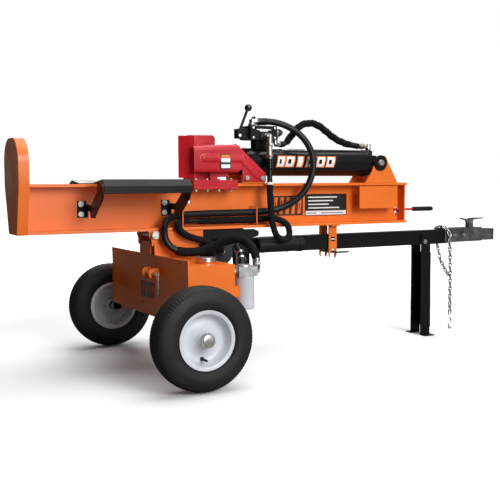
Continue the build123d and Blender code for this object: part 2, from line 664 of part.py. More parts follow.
# ---- hoses: the routes are set by hand ----
RETURN_HOSE = [
    (-180, 0, 1075), (-130, -12, 1078), (-80, -28, 1070), (-30, -46, 1050), (14, -64, 1018),
    (46, -80, 974), (64, -92, 924), (66, -98, 868), (52, -98, 812), (24, -92, 758), (-16, -76, 714),
    (-66, -56, 684), (-124, -42, 668), (-184, -34, 663), (-244, -32, 661), (-304, -31, 662),
    (-364, -31, 661), (-424, -32, 661), (-484, -33, 660), (-540, -38, 659), (-590, -45, 657),
    (-640, -54, 650), (-676, -78, 626), (-692, -106, 590), (-692, -122, 550), (-662, -134, 514),
    (-610, -144, 502), (-556, -156, 504), (-508, -180, 520), (-470, -212, 543), (-436, -250, 560),
    (-408, -290, 557), (-391, -324, 532), (-385, -346, 500), (-385, -356, 474), (-385, -356, 452.4),
]
PRESSURE_HOSE = [
    (-167, -92, 905), (-168, -93, 855), (-169, -95, 800), (-169, -98, 744), (-168, -102, 688),
    (-167, -108, 634), (-160, -114, 584), (-142, -118, 548), (-110, -119, 530), (-80, -116, 546),
    (-70, -106, 582), (-84, -92, 614), (-118, -70, 630), (-162, -48, 632), (-214, -36, 628),
    (-272, -32, 627), (-330, -31, 628), (-388, -32, 627), (-446, -31, 628), (-502, -34, 628),
    (-552, -40, 629), (-592, -50, 629), (-618, -76, 620), (-622, -102, 598), (-598, -112, 574),
    (-556, -112, 558), (-508, -108, 546), (-462, -106, 526), (-424, -106, 506), (-408, -94, 494), (-408, -70.4, 494),
]
BASE_HOSE = [
    (-60, 0, 974), (-40, 0, 974), (-22, -5, 986), (-8, -12, 1008), (8, -18, 1034), (32, -23, 1058),
    (66, -26, 1073), (104, -26, 1076), (142, -24, 1066), (178, -20, 1046), (214, -15, 1023),
    (256, -9, 1002), (302, -4, 987), (348, -1, 978), (392, 0, 973),
]
SUCTION_HOSE = [
    (TANK_X1, -150, 300), (-494, -150, 300), (-452, -146, 303), (-410, -134, 313), (-372, -114, 332),
    (-344, -88, 362), (-327, -64, 402), (-320, -48, 450), (-320, -44, 500),
]
hose("return_hose", RETURN_HOSE, 30)
hose("pressure_hose", PRESSURE_HOSE, 24)
hose("base_hose", BASE_HOSE, 24)
hose("suction_hose", SUCTION_HOSE, 32)
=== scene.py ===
# %% [markdown]
# # A towable log splitter
# The CAD model is the frame of this lesson: every piece below is placed from it, in metres, with +X
# towards the tow coupler, +Y to the engine side and +Z up. The welded and machined shapes are taken
# over from the frame and given rolled edges. What a CAD solid can't say, such as tyre tread, stamped
# sheet, rubber hose and chain, is worked out here as surfaces in numpy.

# %% Load the frame
import bpy
import bmesh
import json
import numpy as np
from math import radians, pi
from mathutils import Matrix, Vector


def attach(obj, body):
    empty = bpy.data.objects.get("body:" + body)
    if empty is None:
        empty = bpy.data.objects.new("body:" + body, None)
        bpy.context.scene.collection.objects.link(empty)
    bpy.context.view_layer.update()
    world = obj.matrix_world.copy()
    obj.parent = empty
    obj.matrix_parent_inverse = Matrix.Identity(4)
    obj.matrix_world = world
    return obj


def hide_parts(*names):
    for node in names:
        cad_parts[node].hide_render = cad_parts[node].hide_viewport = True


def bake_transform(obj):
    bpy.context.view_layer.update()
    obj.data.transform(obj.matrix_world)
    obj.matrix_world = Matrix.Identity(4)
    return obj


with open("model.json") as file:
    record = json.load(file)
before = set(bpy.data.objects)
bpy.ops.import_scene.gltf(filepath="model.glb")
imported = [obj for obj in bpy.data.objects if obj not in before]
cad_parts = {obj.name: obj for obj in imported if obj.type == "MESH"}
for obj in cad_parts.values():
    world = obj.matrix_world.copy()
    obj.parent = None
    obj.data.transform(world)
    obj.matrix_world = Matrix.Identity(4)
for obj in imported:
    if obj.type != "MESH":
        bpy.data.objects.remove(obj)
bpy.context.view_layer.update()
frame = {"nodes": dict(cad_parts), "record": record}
MM = 0.001
print("nodes in the frame:", len(frame["nodes"]))

# %% [markdown]
# ## The camera, the floor and the light
# The machine is seen from a standing person's hip height, a little ahead of the foot plate and to the
# side of the tank. The world is pale all round, and darker only towards the foot end, so that faces
# turned that way fall into shade as they do under a softbox.

# %% Camera
CAMERA_AT = Vector((-2.0145, -3.2755, 0.7847))
YAW, PITCH, ROLL = radians(28.71), radians(4.579), radians(-0.32)
FOCAL_PER_WIDTH = 809.76 / 500

forward = Vector((np.sin(YAW) * np.cos(PITCH), np.cos(YAW) * np.cos(PITCH), -np.sin(PITCH)))
right = Vector((np.cos(YAW), -np.sin(YAW), 0))
up = right.cross(forward)
turned_right = right * np.cos(ROLL) + up * np.sin(ROLL)
turned_up = up * np.cos(ROLL) - right * np.sin(ROLL)
camera_data = bpy.data.cameras.new("camera")
camera_data.sensor_width = 36
camera_data.lens = 36 * FOCAL_PER_WIDTH
camera = bpy.data.objects.new("camera", camera_data)
turn = Matrix((turned_right, turned_up, -forward)).transposed()
camera.matrix_world = Matrix.Translation(CAMERA_AT) @ turn.to_4x4()
bpy.context.scene.collection.objects.link(camera)
bpy.context.scene.camera = camera

# %% [markdown]
# ### Floor, world and lamps
# The floor is a wide sheet of matt paper, 0.5 mm under the wheels. Four large square lamps stand round
# the machine: a key lamp high on the near side, a weak fill below it, one overhead, and one behind on
# the engine side that lights the edges. A studio would use softboxes, and area lamps stand for them.

# %% Floor, world and lamps
FLOOR_REACH = 40.0
FLOOR_DROP = -0.0005
FADE_FROM, FADE_TO = 1.6, 3.4
SHADE_LOW, SHADE_HIGH = 0.01, 0.36


def paper(name, seen, bounced):
    """Matt paper for the floor: pale to look at, but darker for the light that bounces off it, as a dark
    studio floor is, so that the undersides stay in shade. Glow = smooth step of the distance from the
    machine, so the sheet's far edge melts into the background."""
    made = bpy.data.materials.new(name)
    made.use_nodes = True
    tree = made.node_tree
    shader = tree.nodes["Principled BSDF"]
    shader.inputs["Roughness"].default_value = 0.9
    shader.inputs["Specular IOR Level"].default_value = 0.1
    light = tree.nodes.new("ShaderNodeLightPath")
    choose = tree.nodes.new("ShaderNodeMix")
    choose.data_type = "RGBA"
    choose.inputs[6].default_value = (bounced, bounced, bounced, 1)
    choose.inputs[7].default_value = (seen, seen, seen, 1)
    tree.links.new(light.outputs["Is Camera Ray"], choose.inputs["Factor"])
    tree.links.new(choose.outputs[2], shader.inputs["Base Color"])
    place = tree.nodes.new("ShaderNodeTexCoord")
    away = tree.nodes.new("ShaderNodeVectorMath")
    away.operation = "LENGTH"
    fade = tree.nodes.new("ShaderNodeMapRange")
    fade.interpolation_type = "SMOOTHSTEP"
    fade.inputs["From Min"].default_value = FADE_FROM
    fade.inputs["From Max"].default_value = FADE_TO
    glow = tree.nodes.new("ShaderNodeMath")
    glow.operation = "MULTIPLY"
    shader.inputs["Emission Color"].default_value = (1, 1, 1, 1)
    tree.links.new(place.outputs["Object"], away.inputs[0])
    tree.links.new(away.outputs["Value"], fade.inputs["Value"])
    tree.links.new(fade.outputs["Result"], glow.inputs[0])
    tree.links.new(light.outputs["Is Camera Ray"], glow.inputs[1])
    tree.links.new(glow.outputs["Value"], shader.inputs["Emission Strength"])
    return made


floor_mesh = bpy.data.meshes.new("floor")
floor_corners = [(x * FLOOR_REACH, y * FLOOR_REACH, FLOOR_DROP)
                 for x, y in ((-1, -1), (1, -1), (1, 1), (-1, 1))]
floor_mesh.from_pydata(floor_corners, [], [(0, 1, 2, 3)])
floor = bpy.data.objects.new("floor", floor_mesh)
floor_mesh.materials.append(paper("floor", 0.95, 0.2))
bpy.context.scene.collection.objects.link(floor)

bpy.context.scene.view_settings.view_transform = "Standard"
world = bpy.data.worlds.new("studio")
bpy.context.scene.world = world
world.use_nodes = True
sky = world.node_tree
background = sky.nodes["Background"]
direction = sky.nodes.new("ShaderNodeTexCoord")
apart = sky.nodes.new("ShaderNodeSeparateXYZ")
ramp = sky.nodes.new("ShaderNodeMapRange")
ramp.interpolation_type = "SMOOTHSTEP"
ramp.inputs["From Min"].default_value = -0.8
ramp.inputs["From Max"].default_value = 0.25
ramp.inputs["To Min"].default_value = SHADE_LOW
ramp.inputs["To Max"].default_value = SHADE_HIGH
ray = sky.nodes.new("ShaderNodeLightPath")
pick = sky.nodes.new("ShaderNodeMix")
pick.inputs["B"].default_value = 1.0
background.inputs["Color"].default_value = (1, 1, 1, 1)
sky.links.new(direction.outputs["Generated"], apart.inputs[0])
sky.links.new(apart.outputs["X"], ramp.inputs["Value"])
sky.links.new(ray.outputs["Is Camera Ray"], pick.inputs["Factor"])
sky.links.new(ramp.outputs["Result"], pick.inputs["A"])
sky.links.new(pick.outputs["Result"], background.inputs["Strength"])


def lamp(name, place, target, size, watts):
    """A square area lamp at a place, turned to face the target."""
    data = bpy.data.lights.new(name, "AREA")
    data.size = size
    data.energy = watts
    made = bpy.data.objects.new(name, data)
    aim = (Vector(target) - Vector(place)).to_track_quat("-Z", "Y")
    made.matrix_world = Matrix.Translation(place) @ aim.to_matrix().to_4x4()
    bpy.context.scene.collection.objects.link(made)


lamp("key", (0.6, -6.6, 3.4), (-0.1, 0, 0.5), 3.0, 350)
lamp("fill", (-0.4, -7.0, 1.1), (-0.2, 0, 0.5), 2.0, 90)
lamp("top", (0.2, -0.2, 4.6), (0, 0, 0.4), 4.0, 165)
lamp("far side", (1.5, 5.0, 3.0), (0, 0, 0.5), 3.0, 130)
print("lamps:", len(bpy.data.lights))

# %% [markdown]
# ## Finishes
# Every finish is built the same way: a base colour that drifts a little over the surface, a slightly
# uneven gloss, a fine bump for orange peel, casting or zinc spangle, and paler worn edges where the
# surface turns sharply. One function with a few numbers makes them all, so that they belong together.

# %% The finish maker
FINISHES = {}


def finish(name, colour, roughness=0.4, metal=0.0, drift=0.12, grain=220.0, bump=0.06, wear=None,
           coat=0.0, patch=6.0, spread=0.1, shine=0.5):
    """A painted, plated or moulded finish. Colour = base x (1 - drift x broad noise), then blended to the
    wear colour by a mask of edge sharpness times noise; roughness = base +- spread x noise; the bump
    height is a fine noise of the given grain."""
    made = bpy.data.materials.new(name)
    made.use_nodes = True
    tree = made.node_tree
    new, link = tree.nodes.new, tree.links.new
    shader = tree.nodes["Principled BSDF"]
    shader.inputs["Metallic"].default_value = metal
    shader.inputs["Coat Weight"].default_value = coat
    shader.inputs["Specular IOR Level"].default_value = shine
    shader.inputs["Coat Roughness"].default_value = 0.12
    place = new("ShaderNodeTexCoord")
    broad = new("ShaderNodeTexNoise")
    broad.inputs["Scale"].default_value = patch
    broad.inputs["Detail"].default_value = 6
    broad.inputs["Roughness"].default_value = 0.62
    fine = new("ShaderNodeTexNoise")
    fine.inputs["Scale"].default_value = grain
    fine.inputs["Detail"].default_value = 3
    link(place.outputs["Object"], broad.inputs["Vector"])
    link(place.outputs["Object"], fine.inputs["Vector"])
    shade = new("ShaderNodeMapRange")
    shade.inputs["From Min"].default_value = 0.3
    shade.inputs["From Max"].default_value = 0.7
    shade.inputs["To Min"].default_value = 1 - drift
    shade.inputs["To Max"].default_value = 1 + drift * 0.5
    link(broad.outputs["Fac"], shade.inputs["Value"])
    tint = new("ShaderNodeVectorMath")
    tint.operation = "SCALE"
    tint.inputs[0].default_value = colour
    link(shade.outputs["Result"], tint.inputs["Scale"])
    gloss = new("ShaderNodeMapRange")
    gloss.inputs["From Min"].default_value = 0.3
    gloss.inputs["From Max"].default_value = 0.7
    gloss.inputs["To Min"].default_value = max(0.04, roughness - spread)
    gloss.inputs["To Max"].default_value = min(1.0, roughness + spread)
    link(broad.outputs["Fac"], gloss.inputs["Value"])
    link(gloss.outputs["Result"], shader.inputs["Roughness"])
    relief = new("ShaderNodeBump")
    relief.inputs["Strength"].default_value = bump
    relief.inputs["Distance"].default_value = 0.002
    link(fine.outputs["Fac"], relief.inputs["Height"])
    link(relief.outputs["Normal"], shader.inputs["Normal"])
    out = tint.outputs["Vector"]
    if wear is not None:
        flat = new("ShaderNodeNewGeometry")
        soft = new("ShaderNodeBevel")
        soft.samples = 4
        soft.inputs["Radius"].default_value = 0.0022
        turn = new("ShaderNodeVectorMath")
        turn.operation = "DOT_PRODUCT"
        link(flat.outputs["Normal"], turn.inputs[0])
        link(soft.outputs["Normal"], turn.inputs[1])
        edge = new("ShaderNodeMapRange")
        edge.inputs["From Min"].default_value = 0.97
        edge.inputs["From Max"].default_value = 0.80
        link(turn.outputs["Value"], edge.inputs["Value"])
        speck = new("ShaderNodeTexNoise")
        speck.inputs["Scale"].default_value = 55
        speck.inputs["Detail"].default_value = 5
        link(place.outputs["Object"], speck.inputs["Vector"])
        sharp = new("ShaderNodeMapRange")
        sharp.inputs["From Min"].default_value = 0.52
        sharp.inputs["From Max"].default_value = 0.68
        link(speck.outputs["Fac"], sharp.inputs["Value"])
        mask = new("ShaderNodeMath")
        mask.operation = "MULTIPLY"
        link(edge.outputs["Result"], mask.inputs[0])
        link(sharp.outputs["Result"], mask.inputs[1])
        blend = new("ShaderNodeMix")
        blend.data_type = "RGBA"
        link(mask.outputs["Value"], blend.inputs["Factor"])
        link(out, blend.inputs[6])
        blend.inputs[7].default_value = (*wear, 1)
        out = blend.outputs[2]
    link(out, shader.inputs["Base Color"])
    FINISHES[name] = made
    return made


finish("orange_paint", (0.80, 0.165, 0.018), 0.36, drift=0.08, wear=(0.75, 0.3, 0.12), shine=0.35)
finish("red_paint", (0.50, 0.012, 0.022), 0.30, drift=0.12, wear=(0.5, 0.1, 0.1), coat=0.1, shine=0.4)
finish("black_paint", (0.0065, 0.0065, 0.0075), 0.38, drift=0.25, wear=(0.05, 0.05, 0.05), shine=0.16)
finish("gloss_black", (0.004, 0.004, 0.005), 0.2, drift=0.2, wear=(0.04, 0.04, 0.04), coat=0.1, shine=0.3)
finish("zinc", (0.60, 0.59, 0.56), 0.30, 1.0, drift=0.3, grain=90, bump=0.12, patch=30)
finish("dull_zinc", (0.20, 0.205, 0.21), 0.42, 1.0, drift=0.4, grain=80, bump=0.2, patch=22)
finish("yellow_zinc", (0.62, 0.56, 0.25), 0.32, 1.0, drift=0.2, grain=90, bump=0.1, patch=30)
finish("hard_chrome", (0.8, 0.8, 0.82), 0.08, 1.0, drift=0.03, bump=0.01, spread=0.03)
finish("cast_iron", (0.025, 0.025, 0.027), 0.5, 0.1, drift=0.3, grain=140, bump=0.35,
       wear=(0.1, 0.1, 0.1), shine=0.25)
finish("cast_aluminium", (0.55, 0.55, 0.55), 0.40, 0.9, drift=0.25, grain=160, bump=0.3, patch=20)
finish("white_paint", (0.60, 0.62, 0.66), 0.34, drift=0.05, wear=(0.4, 0.4, 0.4), coat=0.1, shine=0.3)
finish("tyre_rubber", (0.013, 0.012, 0.012), 0.62, drift=0.35, grain=300, bump=0.25, patch=9, shine=0.3)
finish("hose_rubber", (0.0075, 0.0075, 0.0085), 0.38, drift=0.3, grain=420, bump=0.3, patch=25, shine=0.25)
finish("sleeve_cloth", (0.008, 0.008, 0.010), 0.75, drift=0.4, grain=700, bump=0.6, patch=40, shine=0.12)
finish("black_plastic", (0.009, 0.009, 0.010), 0.42, drift=0.2, grain=350, bump=0.2, shine=0.2)
finish("phenolic", (0.005, 0.005, 0.006), 0.15, drift=0.1, bump=0.02, coat=0.5)
finish("label_white", (0.80, 0.80, 0.78), 0.4, drift=0.05, bump=0.02)
finish("label_black", (0.009, 0.008, 0.009), 0.35, drift=0.1, bump=0.02)
finish("label_brown", (0.055, 0.016, 0.012), 0.35, drift=0.1, bump=0.02)
finish("label_orange", (0.85, 0.20, 0.03), 0.35, drift=0.05, bump=0.02)
finish("label_yellow", (0.75, 0.72, 0.10), 0.4, drift=0.05, bump=0.02)
finish("label_grey", (0.30, 0.31, 0.32), 0.4, drift=0.08, bump=0.02)
print("finishes:", len(FINISHES))

# %% [markdown]
# ## Taking over the welded and machined shapes
# A CAD mesh is loose triangles with knife-sharp corners, and real plate has a small radius everywhere
# that catches the light. Each such node is copied, its doubled corners merged and its flat faces
# joined, and a Bevel modifier rolls the edges. The copy then stands for the node.

# %% Rounded copies of CAD nodes
BODY_OF = {node: body for body, nodes in frame["record"]["behaviour"]["bodies"].items() for node in nodes}


def shown(obj, material, body=None):
    """Links a finished object, gives it its finish, and sets what it rides on."""
    if not obj.users_collection:
        bpy.context.scene.collection.objects.link(obj)
    obj.data.materials.clear()
    obj.data.materials.append(FINISHES[material])
    if body:
        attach(obj, body)
    return obj


def rounded(node, material, edge=1.5, angle=32):
    """A copy of the node with merged corners and rolled edges of the given radius in millimetres."""
    work = bmesh.new()
    work.from_mesh(frame["nodes"][node].data)
    bmesh.ops.remove_doubles(work, verts=work.verts, dist=2e-6)
    bmesh.ops.dissolve_limit(work, angle_limit=radians(0.6), verts=work.verts, edges=work.edges)
    mesh = bpy.data.meshes.new(f"{node}_skin")
    work.to_mesh(mesh)
    work.free()
    mesh.shade_smooth()
    mesh.set_sharp_from_angle(angle=radians(angle))
    obj = bpy.data.objects.new(f"{node}_skin", mesh)
    bpy.context.scene.collection.objects.link(obj)
    if edge:
        bevel = obj.modifiers.new("rolled edges", "BEVEL")
        bevel.width = edge * MM
        bevel.segments = 2
        bevel.limit_method = "ANGLE"
        bevel.angle_limit = radians(angle)
        bevel.harden_normals = True
        bevel.use_clamp_overlap = True
    shown(obj, material, BODY_OF[node])
    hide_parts(node)
    return obj


ROUNDED = {
    "orange_paint": {"beam": 2, "foot_plate": 3, "oil_tank": 2.5, "pivot_post": 1.5, "cylinder_anchor": 2,
                     "beam_lock_bracket": 1.5, "hose_straps": 0.8},
    "red_paint": {"splitting_wedge": 2.5, "ram_slide": 1.5},
    "black_paint": {"valve_lever": 1, "log_cradle_near": 1.5, "log_cradle_far": 1.5, "cradle_brackets": 1.2,
                    "tongue": 3, "frame_rails": 1.2, "jack_stand": 1.5, "pump_bracket": 1.5,
                    "control_valve": 2, "recoil_shroud": 2, "fuel_tank": 4},
    "zinc": {"base_pin": 1.5, "pivot_bolt": 1.2, "filler_cap": 2, "beam_bolts": 1.2, "tongue_bolts": 1.2,
             "slide_bolts": 1, "valve_spool": 0.5, "upright_lock_pin": 1, "hose_fittings": 1.2,
             "crankshaft_coupling": 1},
    "dull_zinc": {"coupler_body": 2.5, "coupler_latch": 1.2, "beam_lock_pin": 1},
    "gloss_black": {"cylinder_barrel": 1.5, "cylinder_gland": 1.5},
    "cast_iron": {"piston": 1, "hydraulic_pump": 3, "engine_block": 2, "muffler": 3},
    "hard_chrome": {"piston_rod": 0.5},
    "cast_aluminium": {"filter_head": 3},
    "black_plastic": {"document_tube": 1.5, "air_cleaner": 4},
    "phenolic": {"lever_knob": 0},
}
for material, nodes in ROUNDED.items():
    for node, edge in nodes.items():
        rounded(node, material, edge)
print("rounded copies:", sum(len(v) for v in ROUNDED.values()))

# %% [markdown]
# ## Where things stand
# The places that several pieces share, in millimetres and in the frame's own axes.

# %% Shared places
SIDES = ((-1, "near"), (1, "far"))
WHEEL_X, WHEEL_Y, WHEEL_Z = -718, 525, 205
CYLINDER_Z, CYLINDER_RADIUS = 890, 63.5
BASE_PIN_X = 472
FILTER_X, FILTER_Y = -457, -380
STARTER_X, STARTER_Z = -395, 506
WEB_Y = -4.5
print("wheel centre:", (WHEEL_X, WHEEL_Y, WHEEL_Z), "cylinder height:", CYLINDER_Z)

# %% [markdown]
# ## Surfaces in numpy
# Two helpers make nearly every new shape. One takes a grid of points and joins neighbours into quads.
# The other carries a round section along a path, turning its frame as little as it can from one point
# to the next, so that the section doesn't twist.

# %% Grid and tube helpers
def grid_mesh(name, points, wrap_rows=False, wrap_columns=False, caps=False):
    """A surface through an array of points of shape (rows, columns, 3): each cell becomes one quad."""
    rows, columns = points.shape[:2]
    index = np.arange(rows * columns).reshape(rows, columns)
    if wrap_rows:
        index = np.vstack([index, index[:1]])
    if wrap_columns:
        index = np.hstack([index, index[:, :1]])
    quads = np.stack([index[:-1, :-1], index[1:, :-1], index[1:, 1:], index[:-1, 1:]], -1).reshape(-1, 4)
    faces = quads.tolist()
    if caps:
        faces.append(list(range(columns)))
        faces.append(list(range((rows - 1) * columns, rows * columns))[::-1])
    mesh = bpy.data.meshes.new(name)
    mesh.from_pydata(points.reshape(-1, 3).tolist(), [], faces)
    work = bmesh.new()
    work.from_mesh(mesh)
    bmesh.ops.remove_doubles(work, verts=work.verts, dist=1e-6)
    bmesh.ops.recalc_face_normals(work, faces=work.faces)
    work.to_mesh(mesh)
    work.free()
    mesh.shade_smooth()
    return mesh


def carried(path, radius, sides=16, closed=False):
    """Points of a tube: at each path point, a circle of the given radius in the plane across the path.
    The side vector is the last one with its part along the new tangent taken away."""
    path = np.asarray(path, float)
    ahead = np.roll(path, -1, 0) - np.roll(path, 1, 0)
    if not closed:
        ahead[0], ahead[-1] = path[1] - path[0], path[-1] - path[-2]
    ahead /= np.linalg.norm(ahead, axis=1)[:, None]
    side = np.cross(ahead[0], (0.31, 0.17, 0.93))
    sides_of = []
    for tangent in ahead:
        side = side - tangent * (side @ tangent)
        side = side / np.linalg.norm(side)
        sides_of.append(side)
    u = np.array(sides_of)
    v = np.cross(ahead, u)
    turn = np.linspace(0, 2 * pi, sides, endpoint=False)
    radius = np.broadcast_to(np.asarray(radius, float), (len(path),))
    ring = np.cos(turn)[None, :, None] * u[:, None] + np.sin(turn)[None, :, None] * v[:, None]
    return path[:, None] + ring * radius[:, None, None]


def tube(name, path, radius, material, body, sides=16, closed=False):
    """A round bar or tube along a path, closed at its ends."""
    mesh = grid_mesh(name, carried(path, radius, sides, closed), closed, True, not closed)
    return shown(bpy.data.objects.new(name, mesh), material, body)


def lathe(name, profile, centre, axis, material, body, steps=64, ribs=None, ring=False):
    """A turned piece: (along, radius) pairs in millimetres spun about an axis through the centre.
    ribs, when given, is a function of (along, angle) that adds to the radius. With ring, the section
    closes on itself, as a rim's does, and otherwise flat ends close it."""
    along, radius = np.array(profile, float).T
    turn = np.linspace(0, 2 * pi, steps, endpoint=False)
    r = np.repeat(radius[:, None], steps, 1)
    if ribs:
        r = r + ribs(along[:, None], turn[None, :])
    axis = np.array(axis, float)
    u = np.cross(axis, (0, 0, 1)) if abs(axis[2]) < 0.9 else np.array((1.0, 0, 0))
    u = u / np.linalg.norm(u)
    v = np.cross(axis, u)
    points = (
        np.array(centre, float)
        + along[:, None, None] * axis
        + r[..., None] * (np.cos(turn)[None, :, None] * u + np.sin(turn)[None, :, None] * v)
    ) * MM
    mesh = grid_mesh(name, points, ring, True, not ring)
    mesh.set_sharp_from_angle(angle=radians(38))
    return shown(bpy.data.objects.new(name, mesh), material, body)


def box_points(x0, x1, y0, y1, z0, z1):
    """The eight corners of a block, then its six faces, for a small plate."""
    corners = [(x, y, z) for x in (x0, x1) for y in (y0, y1) for z in (z0, z1)]
    faces = [(0, 1, 3, 2), (4, 6, 7, 5), (0, 4, 5, 1), (2, 3, 7, 6), (0, 2, 6, 4), (1, 5, 7, 3)]
    return corners, faces


def block(name, limits, material, body, edge=0.8):
    """A plate or block between limits in millimetres, its edges rolled by a Bevel modifier."""
    corners, faces = box_points(*limits)
    mesh = bpy.data.meshes.new(name)
    mesh.from_pydata((np.array(corners, float) * MM).tolist(), [], faces)
    work = bmesh.new()
    work.from_mesh(mesh)
    bmesh.ops.recalc_face_normals(work, faces=work.faces)
    work.to_mesh(mesh)
    work.free()
    made = bpy.data.objects.new(name, mesh)
    bpy.context.scene.collection.objects.link(made)
    bevel = made.modifiers.new("rolled edges", "BEVEL")
    bevel.width = edge * MM
    bevel.segments = 2
    return shown(made, material, body)


def hexagon(name, centre, axis, across, height, material, body, washer=True):
    """A chamfered hexagon nut on a washer: a lathe of six steps, its rim drawn in at both ends."""
    r = across / 2 / np.cos(pi / 6)
    profile = [(0, r * 0.93), (height * 0.12, r), (height * 0.86, r), (height, r * 0.9), (height, r * 0.45),
               (height * 1.25, r * 0.42), (height * 1.3, r * 0.3)]
    made = lathe(name, profile, centre, axis, material, body, 6)
    if washer:
        disc = [(-0.6, r * 1.28), (0.8, r * 1.28), (1.2, r * 1.2)]
        lathe(name + "_washer", disc, centre, axis, material, body, 32)
    return made


# %% [markdown]
# ## Hoses
# A hydraulic hose has a fixed length and won't kink, so each one follows a handful of listed points
# through a smooth NURBS curve. The hoses that cross the tilt joint would bend between the beam and the
# chassis; here their meshes ride on neither body. Each one ends in a crimped steel ferrule.

# %% Hose routes, in millimetres
RETURN_HOSE = [
    (-180, 0, 1075), (-130, -12, 1078), (-80, -28, 1070), (-30, -46, 1050), (14, -64, 1018),
    (46, -80, 974), (64, -92, 924), (66, -98, 868), (52, -98, 812), (24, -92, 758), (-16, -76, 714),
    (-66, -56, 684), (-124, -42, 668), (-184, -34, 663), (-244, -32, 661), (-304, -31, 662),
    (-364, -31, 661), (-424, -32, 661), (-484, -33, 660), (-540, -38, 659), (-590, -45, 657),
    (-640, -54, 650), (-676, -78, 626), (-692, -106, 590), (-692, -122, 550), (-662, -134, 514),
    (-610, -144, 502), (-556, -156, 504), (-508, -180, 520), (-470, -212, 543), (-436, -250, 560),
    (-408, -290, 557), (-391, -324, 532), (-385, -346, 500), (-385, -356, 474), (-385, -356, 452.4),
]
PRESSURE_UPPER = [
    (-167, -92, 905), (-168, -93, 855), (-169, -95, 800), (-169, -98, 744), (-168, -102, 688),
    (-167, -108, 634), (-160, -114, 584), (-142, -118, 548), (-110, -119, 530), (-80, -116, 546),
    (-70, -106, 582), (-84, -92, 614), (-118, -70, 630), (-162, -48, 632), (-214, -36, 628),
    (-272, -32, 627), (-330, -31, 628), (-388, -32, 627), (-446, -31, 628), (-502, -34, 628),
    (-552, -40, 629),
]
PRESSURE_LOWER = [
    (-552, -40, 629), (-592, -50, 629), (-618, -76, 620), (-622, -102, 598), (-598, -112, 574),
    (-556, -112, 558), (-508, -108, 546), (-462, -106, 526), (-424, -106, 506), (-408, -94, 494),
    (-408, -70.4, 494),
]
BASE_HOSE = [
    (-60, 0, 974), (-40, 0, 974), (-22, -5, 986), (-8, -12, 1008), (8, -18, 1034), (32, -23, 1058),
    (66, -26, 1073), (104, -26, 1076), (142, -24, 1066), (178, -20, 1046), (214, -15, 1023),
    (256, -9, 1002), (302, -4, 987), (348, -1, 978), (392, 0, 973),
]
SUCTION_HOSE = [
    (-530, -150, 300), (-494, -150, 300), (-452, -146, 303), (-410, -134, 313), (-372, -114, 332),
    (-344, -88, 362), (-327, -64, 402), (-320, -48, 450), (-320, -44, 500),
]


# %% [markdown]
# ### From a route to a hose
# Rubber bends in one sweep, so the route's points pull a quadratic NURBS curve towards them instead of
# being corners of it. A round section is then carried along the curve, and the length that the curve
# really has is printed for each hose. A bent tube of straight runs would look like wire.

# %% Smooth lines and hose meshes
def smooth_line(name, route):
    """The points of a quadratic NURBS curve over the given route, read back from Blender."""
    curve = bpy.data.curves.new(name, "CURVE")
    curve.dimensions = "3D"
    spline = curve.splines.new("NURBS")
    spline.points.add(len(route) - 1)
    for point, place in zip(spline.points, route):
        point.co = (*(np.array(place) * MM), 1)
    spline.order_u = 3
    spline.use_endpoint_u = True
    spline.resolution_u = 8
    holder = bpy.data.objects.new(name, curve)
    bpy.context.scene.collection.objects.link(holder)
    bpy.context.view_layer.update()
    line = bpy.data.meshes.new_from_object(holder)
    points = np.array([v.co for v in line.vertices])
    bpy.data.objects.remove(holder)
    bpy.data.meshes.remove(line)
    return points


def line_length(points):
    """The sum of the distances between neighbours."""
    return float(np.linalg.norm(np.diff(points, axis=0), axis=1).sum())


def hose(name, route, diameter, nodes, body, chassis_end=None):
    """A hose of the given outer diameter in millimetres; the length of its curve is printed."""
    line = smooth_line(name, route)
    points = carried(line, diameter / 2 * MM, 24)
    made = bpy.data.objects.new(name, grid_mesh(name, points, False, True, True))
    shown(made, "hose_rubber", None if chassis_end else body)
    if chassis_end:
        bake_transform(made)
    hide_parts(*nodes)
    print(name, "length", round(line_length(line), 3))
    return line


RETURN_BLEND = ((-0.6, -0.12, 0.5), (-0.6, -0.34, 0.5))
PRESSURE_BLEND = ((-0.55, -0.1, 0.62), (-0.55, -0.1, 0.50))
return_line = hose("return_hose_rubber", RETURN_HOSE, 30, ["return_hose"], "splitter_beam", RETURN_BLEND)
upper_line = hose("pressure_hose_upper", PRESSURE_UPPER, 24, ["pressure_hose"], "splitter_beam")
lower_line = hose("pressure_hose_lower", PRESSURE_LOWER, 24, ["pressure_hose"], "splitter_beam",
                  PRESSURE_BLEND)
base_line = hose("base_hose_rubber", BASE_HOSE, 24, ["base_hose"], "splitter_beam")
suction_line = hose("suction_hose_rubber", SUCTION_HOSE, 32, ["suction_hose"], "chassis")

# %% [markdown]
# ## Tyres
# A trailer tyre is a torus with a flattened crown. Four grooves run round it, and the shoulders carry
# short lugs. Both come from one function of the angle and the place across the section, pushed out
# along the section's own normal, so tread and sidewall are one closed surface.

